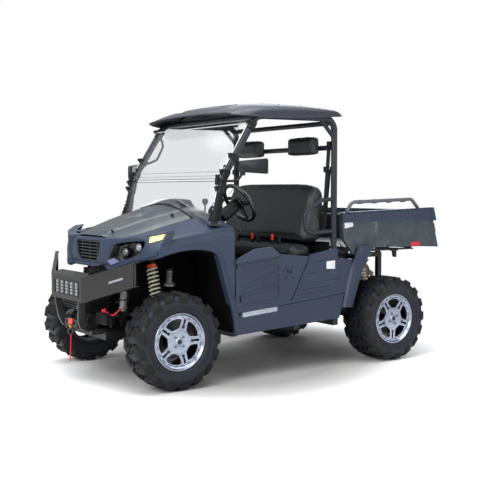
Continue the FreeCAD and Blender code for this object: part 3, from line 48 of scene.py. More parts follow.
def catmull(points, count):
    """Points along a smooth line through the given ones, count to each stretch."""
    made = []
    last = len(points) - 1
    for number in range(last):
        near = (points[max(number - 1, 0)], points[number], points[number + 1], points[min(number + 2, last)])
        for step in range(count):
            t = step / count
            made.append(tuple(0.5 * (2 * b + (c - a) * t + (2 * a - 5 * b + 4 * c - d) * t * t
                                     + (3 * b - a - 3 * c + d) * t ** 3) for a, b, c, d in zip(*near)))
    made.append(tuple(points[last]))
    return made


def rounded(points, radius, closed=True, steps=5):
    """The corners of a line or outline made round."""
    count = len(points)
    made = []
    for number, point in enumerate(points):
        if not closed and number in (0, count - 1):
            made.append(tuple(point))
            continue
        corner = Vector(point)
        before = Vector(points[number - 1]) - corner
        after = Vector(points[(number + 1) % count]) - corner
        turn = before.angle(after)
        reach = min(radius / max(math.tan(turn / 2), 0.01), 0.45 * before.length, 0.45 * after.length)
        first = corner + before.normalized() * reach
        second = corner + after.normalized() * reach
        for step in range(steps + 1):
            t = step / steps
            made.append(tuple(first * (1 - t) ** 2 + corner * 2 * t * (1 - t) + second * t * t))
    return made


def between(low, high, share):
    """A value a share of the way from one to another."""
    return low + (high - low) * share


def bump(value, centre, width):
    """A smooth hill of height one."""
    away = abs(value - centre) / width
    return 0.5 + 0.5 * math.cos(math.pi * away) if away < 1 else 0.0


def step_up(value, start, end):
    """A smooth rise from 0 to 1."""
    share = min(max((value - start) / (end - start), 0), 1)
    return share * share * (3 - 2 * share)


def circle(count):
    """The angles of even steps round a circle."""
    return [2 * math.pi * number / count for number in range(count)]


def disc(across, up, radius, count):
    """A round outline about a place."""
    return [(across + radius * math.cos(a), up + radius * math.sin(a)) for a in circle(count)]


def oblong(low, high, radius):
    """A rectangle with round corners, from its lowest and highest pair."""
    (left, bottom), (right, top) = low, high
    return rounded([(left, bottom), (right, bottom), (right, top), (left, top)], radius)


def roller(radius, half, edge):
    """The profile of a bar with bevelled ends, as pairs to be turned about its middle."""
    return [(0, -half), (radius - edge, -half), (radius, 4 - half), (radius, half - 4), (radius - edge, half),
            (0, half)]


def show(name, data):
    """An object of some data, linked to the scene."""
    thing = bpy.data.objects.new(name, data)
    bpy.context.scene.collection.objects.link(thing)
    return thing


# ---------------------------------------------------------------- shapes

class Shape:
    """A mesh in the making, in millimetres, with a material number for each face."""

    def __init__(self):
        self.points = []
        self.faces = []
        self.marks = []

    def add(self, points, faces, mark=0):
        first = len(self.points)
        self.points += [tuple(point) for point in points]
        self.faces += [[first + index for index in face] for face in faces]
        self.marks += [mark] * len(faces)

    def grid(self, rows, around=False, along=False, mark=0):
        """Faces over rows of points. Around closes each row and along joins the last row to the first."""
        wide, tall = len(rows[0]), len(rows)
        faces = []
        for row in range(tall if along else tall - 1):
            for column in range(wide if around else wide - 1):
                right = (column + 1) % wide
                above = (row + 1) % tall
                faces.append((row * wide + column, row * wide + right, above * wide + right,
                              above * wide + column))
        self.add([point for row in rows for point in row], faces, mark)

    def loft(self, rings, mark=0, capped=True):
        """A closed form through rings of as many points each."""
        self.grid(rings, around=True, mark=mark)
        if capped:
            self.add(rings[0], [range(len(rings[0]))], mark)
            self.add(rings[-1], [range(len(rings[-1]))], mark)

    def tube(self, path, radius, sides=14, mark=0, closed=False, flat=1.0):
        """A round bar along a path. The radius may be a function of the share of the way."""
        places = [Vector(point) for point in path]
        count = len(places)
        rings = []
        side = None
        for number, place in enumerate(places):
            back = places[number - 1] if closed or number else place
            ahead = places[(number + 1) % count] if closed or number < count - 1 else place
            along = (ahead - back).normalized()
            if side is None:
                side = along.orthogonal().normalized()
            side = (side - along * side.dot(along)).normalized()
            up = along.cross(side)
            size = radius(number / (count - 1)) if callable(radius) else radius
            rings.append([place + (side * math.cos(a) + up * math.sin(a) * flat) * size
                          for a in circle(sides)])
        if closed:
            self.grid(rings, around=True, along=True, mark=mark)
        else:
            self.loft(rings, mark)

    def turned(self, profile, centre, axis=(1, 0, 0), steps=48, mark=0, marks=None):
        """A profile of (radius, along) pairs turned about an axis. Marks gives one number to each stretch."""
        way = Vector(axis).normalized()
        side = Vector((0, 1, 0)) if abs(way.y) < 0.9 else Vector((1, 0, 0))
        side = (side - way * side.dot(way)).normalized()
        up = way.cross(side)
        rings = []
        for radius, along in profile:
            rings.append([Vector(centre) + way * along + (side * math.cos(a) + up * math.sin(a)) * radius
                          for a in circle(steps)])
        for number, pair in enumerate(zip(rings, rings[1:])):
            self.grid(pair, around=True, mark=marks[number] if marks else mark)

    def block(self, low, high, mark=0, place=None):
        """A block between two corners, moved by a matrix if one is given."""
        corners = [Vector((x, y, z)) for z in (low[2], high[2]) for x, y in
                   ((low[0], low[1]), (high[0], low[1]), (high[0], high[1]), (low[0], high[1]))]
        if place:
            corners = [place @ corner for corner in corners]
        faces = [(0, 3, 2, 1), (4, 5, 6, 7), (0, 1, 5, 4), (1, 2, 6, 5), (2, 3, 7, 6), (3, 0, 4, 7)]
        self.add(corners, faces, mark)

    def plate(self, outlines, thick, place, bevel=1.5, steps=2, mark=0):
        """A flat plate with holes and rounded edges. Place takes (x, y, level) to the row frame."""
        curve = bpy.data.curves.new("plate", "CURVE")
        curve.dimensions = "2D"
        curve.fill_mode = "BOTH"
        curve.extrude = thick / 2 - bevel
        curve.bevel_depth = bevel
        curve.bevel_resolution = steps
        curve.offset = -bevel
        for outline in outlines:
            spline = curve.splines.new("POLY")
            spline.points.add(len(outline) - 1)
            for point, (x, y) in zip(spline.points, outline):
                point.co = (x, y, 0, 1)
            spline.use_cyclic_u = True
        holder = show("plate", curve)
        bpy.context.view_layer.update()
        shown = holder.evaluated_get(bpy.context.evaluated_depsgraph_get())
        mesh = shown.to_mesh()
        points = [place(v.co.x, v.co.y, v.co.z + thick / 2) for v in mesh.vertices]
        self.add(points, [list(face.vertices) for face in mesh.polygons], mark)
        shown.to_mesh_clear()
        bpy.data.objects.remove(holder)
        bpy.data.curves.remove(curve)

    def side_plate(self, outlines, side, low, high, bevel=2, mark=0):
        """A plate standing along the vehicle, from outlines of (y, z) pairs."""
        thick = high - low
        self.plate(outlines, thick, lambda a, b, level: (side * (low + level), a, b), bevel, mark=mark)

    def front_plate(self, outlines, front, thick, bevel=2, mark=0):
        """A plate standing across the vehicle, from outlines of (x, z) pairs."""
        self.plate(outlines, thick, lambda a, b, level: (a, front + level, b), bevel, mark=mark)


def piece(name, shape, looks, body="chassis", bevel=0, solid=0, sharp=38, stands_for=(), fine=2):
    """Makes an object of a shape, gives it its looks and lets it ride on a body. Solid is a wall's thickness,
    sharp the angle in degrees from which an edge stays hard, and stands_for the nodes that it replaces."""
    mesh = bpy.data.meshes.new(name)
    mesh.from_pydata([Vector(point) * MM for point in shape.points], [], shape.faces)
    for look in looks:
        mesh.materials.append(LOOKS[look])
    for face, mark in zip(mesh.polygons, shape.marks):
        face.material_index = mark
    work = bmesh.new()
    work.from_mesh(mesh)
    bmesh.ops.remove_doubles(work, verts=work.verts, dist=0.00002)
    bmesh.ops.dissolve_degenerate(work, edges=work.edges, dist=0.00001)
    bmesh.ops.recalc_face_normals(work, faces=work.faces)
    work.to_mesh(mesh)
    work.free()
    mesh.shade_smooth()
    thing = show(name, mesh)
    if solid:
        wall = thing.modifiers.new("wall", "SOLIDIFY")
        wall.thickness = abs(solid) * MM
        wall.offset = -1 if solid > 0 else 1
        wall.use_even_offset = True
    if bevel:
        soften(thing, bevel, fine)
    else:
        mesh.set_sharp_from_angle(angle=math.radians(sharp))
    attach(thing, body)
    if stands_for:
        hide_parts(*stands_for)
    return thing


def soften(thing, bevel, fine=2):
    """Rounds a piece's edges and evens its shading."""
    edges = thing.modifiers.new("edges", "BEVEL")
    edges.width = bevel * MM
    edges.segments = fine
    edges.limit_method = "ANGLE"
    edges.angle_limit = math.radians(32)
    edges.use_clamp_overlap = True
    shade = thing.modifiers.new("shade", "WEIGHTED_NORMAL")
    shade.keep_sharp = False
    shade.weight = 60


def dress(node, look, bevel=0):
    """Shows a node of the frame itself, with its own material and rounded edges."""
    thing = NODES[node]
    thing.data.materials.clear()
    thing.data.materials.append(LOOKS[look])
    if bevel:
        weld = thing.modifiers.new("weld", "WELD")
        weld.merge_threshold = 0.00005
        soften(thing, bevel)


def skin(stations, across, along, whole=True):
    """Rows of points over a sheet. Stations are (y, [(x, z), ...]) from the middle outwards, and a whole
    sheet is mirrored to both sides."""
    lines = []
    for y, half in stations:
        line = [(x, y, z) for x, z in half]
        if whole:
            line = [(-x, y, z) for x, z in reversed(half[1:])] + line
        lines.append(catmull(line, across))
    return [list(row) for row in zip(*[catmull(column, along) for column in zip(*lines)])]


# The nose's front seen from above: the corner beside the grille, and how fast it falls back from there.
CORNER_X, CORNER_Y = 322, -1333
SWEEP = 0.4434
INNER_SWEEP = -0.25
# What lies ahead of that line is moved back and down for each millimetre that it is moved inwards. The reach
# inwards is the distance from the line over about SWEEP + MOVED_BACK.
MOVED_BACK, MOVED_DOWN, MOVED_SHARE = 0.5657, 0.055, 1.009


def nose_y(x, out=0):
    """Where the nose's swept front lies at a place across it."""
    return CORNER_Y + (SWEEP if x > CORNER_X else INNER_SWEEP) * (x - CORNER_X) - out


def lean(x, z):
    """How far the nose's upper outer corners lean back."""
    return max(0, (abs(x) - 560) / 140) * max(0, (z - 930) / 100) ** 1.5 * 45


def swept(shape):
    """Draws what lies at the nose's corners back behind its swept front."""
    moved = []
    for x, y, z in shape.points:
        ahead = SWEEP * (abs(x) - CORNER_X) + CORNER_Y - y
        back = max(ahead / MOVED_SHARE, 0) if abs(x) > CORNER_X else 0
        rest = max(0, 1 - max(0, y + 1180) / 160)
        moved.append((x - math.copysign(back, x), y + MOVED_BACK * back + lean(x, z) * rest,
                      z - MOVED_DOWN * back))
    shape.points = moved
    return shape


def flip(rows, side):
    """Rows of points on the left, or mirrored to the right."""
    return [[(x * side, y, z) for x, y, z in row] for row in rows]


# ---------------------------------------------------------------- materials

LOOKS = {}


def tone(red, green, blue):
    """A colour from 0 to 255 as the shader takes it."""
    def one(value):
        value /= 255
        return value / 12.92 if value <= 0.04045 else ((value + 0.055) / 1.055) ** 2.4

    return (one(red), one(green), one(blue), 1)


def toned(colour, share):
    """A colour made darker or lighter."""
    return tuple(min(value * share, 1) for value in colour[:3]) + (1,)


class Nodes:
    """A material's node tree, with short ways to add and join nodes."""

    def __init__(self, name):
        self.look = bpy.data.materials.new(name)
        self.look.use_nodes = True
        self.tree = self.look.node_tree
        self.shader = self.tree.nodes["Principled BSDF"]
        self.out = self.tree.nodes["Material Output"]
        LOOKS[name] = self.look

    def add(self, kind, **values):
        """A node with its inputs by name, and with its settings where a name starts with set_."""
        made = self.tree.nodes.new("ShaderNode" + kind)
        for key, value in values.items():
            if key.startswith("set_"):
                setattr(made, key[4:], value)
            else:
                made.inputs[key.replace("_", " ")].default_value = value
        return made

    def join(self, source, target):
        self.tree.links.new(source, target)

    def set(self, **values):
        """Gives inputs of the shader their values."""
        for key, value in values.items():
            self.shader.inputs[key.replace("_", " ")].default_value = value

    def combine(self, operation, *sources):
        """A sum of patterns and numbers."""
        made = self.add("Math", set_operation=operation)
        for target, source in zip(made.inputs, sources):
            if isinstance(source, float):
                target.default_value = source
            else:
                self.join(source, target)
        return made.outputs["Value"]

    def mix(self, share, first, second):
        """Shows two shaders, the second by a share."""
        made = self.add("MixShader")
        self.join(share, made.inputs["Fac"])
        self.join(first.outputs[0], made.inputs[1])
        self.join(second.outputs[0], made.inputs[2])
        self.join(made.outputs["Shader"], self.out.inputs["Surface"])

    def place(self):
        """Object coordinates, so a pattern moves with its piece."""
        return self.add("TexCoord").outputs["Object"]

    def noise(self, where, scale, detail=3, rough=0.5):
        made = self.add("TexNoise", Scale=scale, Detail=detail, Roughness=rough)
        self.join(where, made.inputs["Vector"])
        return made.outputs["Fac"]

    def ramp(self, source, stops):
        """A colour ramp: stops are (position, colour)."""
        made = self.add("ValToRGB")
        made.color_ramp.elements[0].position, made.color_ramp.elements[0].color = stops[0]
        made.color_ramp.elements[1].position, made.color_ramp.elements[1].color = stops[-1]
        for position, colour in stops[1:-1]:
            made.color_ramp.elements.new(position).color = colour
        self.join(source, made.inputs["Fac"])
        return made.outputs["Color"]

    def tint(self, source, stops):
        """Colours the surface by a ramp over a pattern."""
        self.join(self.ramp(source, stops), self.shader.inputs["Base Color"])

    def bump(self, source, strength, depth):
        """Fine relief in the surface."""
        made = self.add("Bump", Strength=strength, Distance=depth)
        self.join(source, made.inputs["Height"])
        self.join(made.outputs["Normal"], self.shader.inputs["Normal"])

    def spread(self, source, low, high, target):
        """Maps a pattern to a range of one shader value."""
        made = self.add("MapRange", To_Min=low, To_Max=high)
        self.join(source, made.inputs["Value"])
        self.join(made.outputs["Result"], self.shader.inputs[target])


def plain(name, colour, rough=0.5, metal=0.0, grain=400.0, depth=0.0002, vary=0.12, strength=0.25, coat=0.0,
          shine=0.5):
    """A moulded, painted or cast surface: slight tone and gloss changes with a fine grain."""
    made = Nodes(name)
    where = made.place()
    made.tint(made.noise(where, 3.5, 4), [(0.3, toned(colour, 1 - vary)), (0.7, toned(colour, 1 + vary))])
    made.spread(made.noise(where, 18, 4), rough - 0.06, rough + 0.08, "Roughness")
    made.set(Metallic=metal, Coat_Weight=coat, Coat_Roughness=0.2, Specular_IOR_Level=shine)
    made.bump(made.noise(where, grain, 2, 0.6), strength, depth)


def patterned(name, base, vein, speck, rough=0.42):
    """A generic mottled pattern: pale broken veins and specks over a dark ground."""
    made = Nodes(name)
    where = made.place()
    warp = made.add("TexNoise", Scale=6.5, Detail=5.0)
    made.join(where, warp.inputs["Vector"])
    push = made.add("VectorMath", set_operation="MULTIPLY_ADD")
    made.join(warp.outputs["Color"], push.inputs[0])
    push.inputs[1].default_value = (0.28, 0.28, 0.28)
    made.join(where, push.inputs[2])
    loops = made.noise(push.outputs["Vector"], 3.4, 3)
    dark, half, light = (0, 0, 0, 1), (0.45, 0.45, 0.45, 1), (0.85, 0.85, 0.85, 1)
    edge = made.ramp(loops, [(0.462, dark), (0.482, half), (0.5, light), (0.518, half), (0.538, dark)])
    area = made.ramp(made.noise(where, 2.6, 2), [(0.50, (0, 0, 0, 1)), (0.62, (1, 1, 1, 1))])
    both = made.combine("MULTIPLY", edge, area)
    patch = made.ramp(made.noise(push.outputs["Vector"], 7.5, 3), [(0.50, base), (0.60, speck), (0.64, base)])
    mix = made.add("Mix", set_data_type="RGBA")
    made.join(both, mix.inputs["Factor"])
    made.join(patch, mix.inputs[6])
    mix.inputs[7].default_value = vein
    made.join(mix.outputs[2], made.shader.inputs["Base Color"])
    made.spread(made.noise(where, 20, 3), rough - 0.06, rough + 0.08, "Roughness")
    made.set(Coat_Weight=0.12, Coat_Roughness=0.25)
    made.bump(made.noise(where, 350, 2), 0.15, 0.0001)


def vinyl(name, colour):
    """Grained upholstery."""
    made = Nodes(name)
    where = made.place()
    grain = made.add("TexVoronoi", Scale=420.0)
    made.join(where, grain.inputs["Vector"])
    made.tint(made.noise(where, 4, 4), [(0.3, colour), (0.75, toned(colour, 1.3))])
    made.spread(made.noise(where, 9, 4), 0.42, 0.56, "Roughness")
    made.bump(grain.outputs["Distance"], 0.35, 0.0006)


def webbing(name, colour):
    """Woven strap."""
    made = Nodes(name)
    where = made.place()
    wave = made.add("TexWave", set_bands_direction="Z", Scale=160.0, Distortion=0.6)
    made.join(where, wave.inputs["Vector"])
    made.tint(wave.outputs["Fac"], [(0.0, colour), (1.0, toned(colour, 1.6))])
    made.set(Roughness=0.85)
    made.bump(wave.outputs["Fac"], 0.5, 0.0005)


def clear(name, tint):
    """The screen's thin clear sheet: mostly see-through, with a glossy share that grows at a grazing look and
    fades near the sheet's side edges."""
    made = Nodes(name)
    through = made.add("BsdfTransparent", Color=tint)
    gloss = made.add("BsdfGlossy", Color=(1, 1, 1, 1), Roughness=0.06)
    edge = made.add("LayerWeight", Blend=0.25)
    share = made.add("MapRange", To_Min=0.01, To_Max=0.25)
    made.join(edge.outputs["Fresnel"], share.inputs["Value"])
    haze = made.noise(made.place(), 2.0, 2)
    wear = made.combine("MULTIPLY_ADD", haze, 0.02, share.outputs["Result"])
    across = made.add("SeparateXYZ")
    made.join(made.place(), across.inputs["Vector"])
    fade = made.add("MapRange", From_Min=0.56, From_Max=0.60, To_Min=1.0, To_Max=0.1)
    made.join(made.combine("ABSOLUTE", across.outputs["X"]), fade.inputs["Value"])
    made.mix(made.combine("MULTIPLY", wear, fade.outputs["Result"]), through, gloss)
    made.look.blend_method = "BLEND"


def lens(name, colour, glow=0.0):
    """A moulded lamp lens with fine vertical ribs."""
    made = Nodes(name)
    where = made.place()
    wave = made.add("TexWave", Scale=45.0)
    made.join(where, wave.inputs["Vector"])
    made.tint(wave.outputs["Fac"], [(0.0, toned(colour, 0.55)), (1.0, colour)])
    made.set(Roughness=0.12, Coat_Weight=1.0, Coat_Roughness=0.05, Emission_Color=colour,
             Emission_Strength=glow)
    made.bump(wave.outputs["Fac"], 0.3, 0.0008)


def make_looks():
    """Every material of the vehicle."""
    plain("body_plastic", tone(40, 50, 69), 0.4, grain=300, shine=0.28)
    plain("bumper_paint", tone(34, 35, 33), 0.42, grain=900, strength=0.5, shine=0.4)
    plain("black_plastic", tone(12, 13, 16), 0.5, grain=500, shine=0.3)
    plain("mirror_shell", tone(26, 28, 33), 0.42, grain=500, shine=0.2)
    plain("winch_paint", tone(15, 15, 17), 0.35, coat=0.3)
    plain("black_gloss", tone(11, 12, 14), 0.3, coat=0.4)
    plain("deep_black", tone(4, 4, 5), 0.85, shine=0.1)
    plain("cage_steel", tone(34, 37, 46), 0.38, grain=900, shine=0.3)
    plain("rail_steel", tone(81, 83, 94), 0.36, metal=0.2, grain=900)
    plain("frame_steel", tone(18, 19, 21), 0.45, metal=0.2, grain=700)
    plain("roof_plastic", tone(36, 42, 52), 0.4, grain=300, shine=0.35)
    # The sidewall is the tread's black rubber made lighter and bluer: a painted sheen.
    plain("tyre", tone(18, 22, 31), 0.5, grain=220, depth=0.0004, vary=0.2, shine=0.3)
    plain("tread", tone(9, 9, 12), 0.66, grain=180, depth=0.0006, vary=0.25, shine=0.3)
    plain("rubber", tone(10, 10, 12), 0.6, grain=260, shine=0.2)
    plain("machined", tone(150, 158, 174), 0.24, metal=0.95, grain=1200, strength=0.1)
    plain("wheel_dark", tone(13, 14, 17), 0.35, metal=0.4, coat=0.3)
    plain("barrel", tone(44, 45, 49), 0.4, metal=0.8)
    plain("cast_alloy", tone(118, 120, 118), 0.5, metal=0.6, grain=250, depth=0.0005)
    plain("dull_steel", tone(70, 72, 76), 0.45, metal=0.8)
    plain("bolt", tone(60, 62, 68), 0.35, metal=0.7)
    plain("rope", tone(70, 72, 74), 0.6)
    plain("brass", tone(176, 140, 52), 0.35, metal=0.8)
    plain("exhaust_steel", tone(96, 90, 80), 0.4, metal=0.85, vary=0.3)
    plain("spring_cream", tone(206, 200, 176), 0.35, coat=0.4)
    plain("orange", tone(214, 70, 22), 0.45)
    plain("orange_red", tone(214, 46, 16), 0.45)
    plain("red_paint", tone(190, 20, 22), 0.4)
    plain("blank_label", tone(205, 205, 210), 0.5)
    plain("lavender", tone(106, 108, 142), 0.3, coat=0.3)
    plain("silver", tone(160, 163, 172), 0.35, metal=0.6)
    plain("seam", tone(10, 11, 12), 0.7)
    patterned("patterned", tone(36, 44, 52), tone(88, 100, 98), tone(48, 58, 62))
    vinyl("vinyl", tone(25, 29, 32))
    webbing("belt", tone(13, 13, 15))
    webbing("red_webbing", tone(200, 14, 32))
    clear("screen", (0.93, 0.935, 0.945, 1))
    # The screen's bright edge strips are a painted highlight: light caught in the clear sheet's edges.
    plain("painted_highlight_edge", tone(205, 214, 220), 0.2, coat=0.6)
    lens("lamp_glass", tone(84, 88, 96))
    lens("lamp_bright", tone(140, 145, 156))
    lens("red_lens", tone(170, 20, 20), 0.05)
    lens("amber", tone(250, 196, 0), 0.12)
    plain("mirror_face", tone(170, 176, 184), 0.05, metal=1.0, grain=2, strength=0.0)


# ---------------------------------------------------------------- camera, strap, stage

CAMERA_TURN = math.radians(54.94)
CAMERA_DOWN = 3.18


def camera():
    """The photograph's camera, as its four wheels give it."""
    made = show("camera", bpy.data.cameras.new("camera"))
    made.location = (5.787, -4.074, 1.337)
    made.rotation_euler = (math.radians(90 - CAMERA_DOWN), 0, CAMERA_TURN)
    made.data.lens = 66.6
    made.data.sensor_width = 36
    bpy.context.scene.camera = made


def winch_strap():
    """The red strap that hangs from the hook, along the route that the frame gives it."""
    route = [(0, -1473, 323.5), (3, -1474, 278), (-2, -1476, 230), (2, -1478, 182), (-1, -1482, 134)]
    curve = bpy.data.curves.new("winch_strap_look", "CURVE")
    curve.dimensions = "3D"
    curve.bevel_depth = 0.004
    curve.bevel_resolution = 3
    curve.use_fill_caps = True
    curve.resolution_u = 12
    spline = curve.splines.new("NURBS")
    spline.points.add(len(route) - 1)
    for point, place in zip(spline.points, route):
        point.co = (*[value * MM for value in place], 1)
    spline.order_u = 3
    spline.use_endpoint_u = True
    curve.materials.append(LOOKS["red_webbing"])
    strap = show("winch_strap_look", curve)
    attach(strap, "chassis")
    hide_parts("winch_strap")


def floor():
    """The ground: pale, with a painted shadow that darkens its colour in a soft pool below the vehicle, and
    fading to pure white away from it.
    """
    mesh = bpy.data.meshes.new("floor_sheet")
    mesh.from_pydata([(-14, -14, 0), (14, -14, 0), (14, 14, 0), (-14, 14, 0)], [], [(0, 1, 2, 3)])
    made = Nodes("pale_floor_painted_shadow")
    made.set(Roughness=0.9, Specular_IOR_Level=0.1)
    where = made.add("NewGeometry")
    # A painted shadow: an elliptical pool about the vehicle, turned to the camera's heading, darkens the
    # floor's colour.
    painted_shadow_pool = made.add("Mapping", set_vector_type="TEXTURE", Location=(-0.27, 0.13, 0),
                    Rotation=(0, 0, CAMERA_TURN), Scale=(1.42, 2.2, 1))
    reach = made.add("VectorMath", set_operation="LENGTH")
    made.join(where.outputs["Position"], painted_shadow_pool.inputs["Vector"])
    made.join(painted_shadow_pool.outputs["Vector"], reach.inputs[0])
    # The painted shadow: how pale the floor is at each share of the pool's reach.
    painted_shadow_levels = ((0.1, 0.66), (0.29, 0.44), (0.6, 0.36), (0.74, 0.52), (0.9, 0.86), (1.0, 1.0))
    made.tint(reach.outputs["Value"], [
        (spot, (level * 0.93, level * (0.90 + 0.03 * level), level * (0.88 + 0.05 * level), 1))
        for spot, level in painted_shadow_levels])
    away = made.add("VectorMath", set_operation="LENGTH")
    made.join(where.outputs["Position"], away.inputs[0])
    fade = made.add("MapRange", set_interpolation_type="SMOOTHSTEP", From_Min=1.8, From_Max=4.2)
    made.join(away.outputs["Value"], fade.inputs["Value"])
    made.mix(fade.outputs["Result"], made.shader, made.add("Emission", Color=(1, 1, 1, 1), Strength=1.0))
    mesh.materials.append(made.look)
    ground = show("ground", mesh)


def lamps():
    """Four soft lamps: above, in front, beside and behind."""
    lights = (("top", (0.3, -0.6, 5.2), (0, 0, 0.6), 5.0, 360),
              ("key", (2.6, -6.2, 3.8), (0, -0.6, 0.8), 3.4, 380),
              ("flank", (6.5, 2.6, 2.6), (0, 0.3, 0.7), 3.4, 110),
              ("back", (-4.5, 4.5, 3.6), (0, 0, 1.0), 3.5, 150))
    for name, place, aim, size, power in lights:
        data = bpy.data.lights.new(name, "AREA")
        data.size = size
        data.energy = power
        lamp = show(name, data)
        lamp.location = place
        lamp.rotation_euler = (Vector(aim) - Vector(place)).to_track_quat("-Z", "Y").to_euler()


def sky():
    """A white world where it is seen straight or through glass, and a softer one that lights."""
    world = bpy.data.worlds.new("white")
    bpy.context.scene.world = world
    world.use_nodes = True
    tree = world.node_tree
    soft = tree.nodes["Background"]
    white = tree.nodes.new("ShaderNodeBackground")
    for node, colour, strength in ((soft, (0.94, 0.97, 1.0, 1), 0.62), (white, (1, 1, 1, 1), 1.0)):
        node.inputs["Color"].default_value = colour
        node.inputs["Strength"].default_value = strength
    path = tree.nodes.new("ShaderNodeLightPath")
    seen = tree.nodes.new("ShaderNodeMath")
    seen.operation = "MAXIMUM"
    mix = tree.nodes.new("ShaderNodeMixShader")
    for source, target in ((path.outputs["Is Camera Ray"], seen.inputs[0]),
                           (path.outputs["Is Transmission Ray"], seen.inputs[1]),
                           (seen.outputs["Value"], mix.inputs["Fac"]),
                           (soft.outputs["Background"], mix.inputs[1]),
                           (white.outputs["Background"], mix.inputs[2]),
                           (mix.outputs["Shader"], tree.nodes["World Output"].inputs["Surface"])):
        tree.links.new(source, target)
    settings = bpy.context.scene.view_settings
    settings.view_transform = "Standard"
    settings.look = "None"


# ---------------------------------------------------------------- wheels

AXLE_Z = 330
# For each end: its axle's place along the vehicle, half its track, half its tyre's width, half its rim's
# width and its spokes' turn in degrees.
WHEELS = {"front": (-1032, 666, 114.5, 95, 0), "rear": (918, 674, 139.5, 118, -20)}
LUGS = 17
SPOKES = 5
TYRE_STEPS = 96


def wheel_point(end, side, x, radius, angle):
    """A place on a wheel: outwards from its middle plane, from its axle, and round from the rear."""
    y, track = WHEELS[end][:2]
    return (side * (track + x), y + radius * math.cos(angle), AXLE_Z + radius * math.sin(angle))


def lug(shape, end, side, way, start, stations):
    """One tread block through stations of (x, top, base, half angle, slant)."""
    rings = []
    for x, top, base, spread, slant in stations:
        angle = start + slant * way
        rings.append([wheel_point(end, side, way * x, r, angle + turn) for r, turn in
                      ((base, -spread), (top, -spread * 0.72), (top, spread * 0.72), (base, spread))])
    shape.loft(rings, mark=1)


def tyre(end, side, word):
    """The carcass with its rim guard, and the rows of shoulder and centre lugs."""
    half, rim_half = WHEELS[end][2:4]
    shape = Shape()
    line = [(rim_half - 7, 190), (rim_half - 2, 197), (rim_half + 2, 206), (rim_half + 9, 212),
            (half - 9, 226), (half - 3, 243), (half - 1, 262), (half - 4, 281), (half - 12, 298),
            (half - 30, 309), (half * 0.35, 314), (0, 315)]
    line = catmull(line, 3)
    line = line + [(-x, r) for x, r in reversed(line[:-1])]
    rows = [[wheel_point(end, side, x, r, a) for a in circle(TYRE_STEPS)] for x, r in line]
    shape.grid(rows, around=True)
    shape.grid([rows[-1], rows[0]], around=True, mark=1)
    for x, r in ((half - 10, 222), (half - 3.5, 236)):
        shape.tube([wheel_point(end, side, x, r, a) for a in circle(TYRE_STEPS)], 1.6, 6, closed=True)
    pitch = 2 * math.pi / LUGS
    for number in range(LUGS):
        for way in (1, -1):
            start = (number + (0.5 if way < 0 else 0)) * pitch
            long = number % 2 == 0
            reach = 262 if long else 284
            stations = [(half - 66, 329.5, 306, 0.115, -0.10), (half - 40, 329, 304, 0.125, -0.05),
                        (half - 16, 324, 296, 0.13, 0.0), (half - 3, 309, 286, 0.125, 0.02),
                        (half + 1.5, 290 if long else 297, 272 if long else 284, 0.11, 0.03),
                        (half - 0.5, reach, reach - 3, 0.085, 0.03)]
            lug(shape, end, side, way, start, stations)
            middle = [(4, 329.5, 308, 0.07, 0.14), (half * 0.25, 330, 308, 0.085, 0.09),
                      (half * 0.42, 330, 307, 0.08, 0.02)]
            lug(shape, end, side, way, start + pitch * 0.5, middle)
    piece(f"tyre_look_{end}_{word}", shape, ["tyre", "tread"], f"wheel_{end}_{word}", bevel=1.6, fine=1,
          stands_for=[f"tyre_{end}_{word}"])


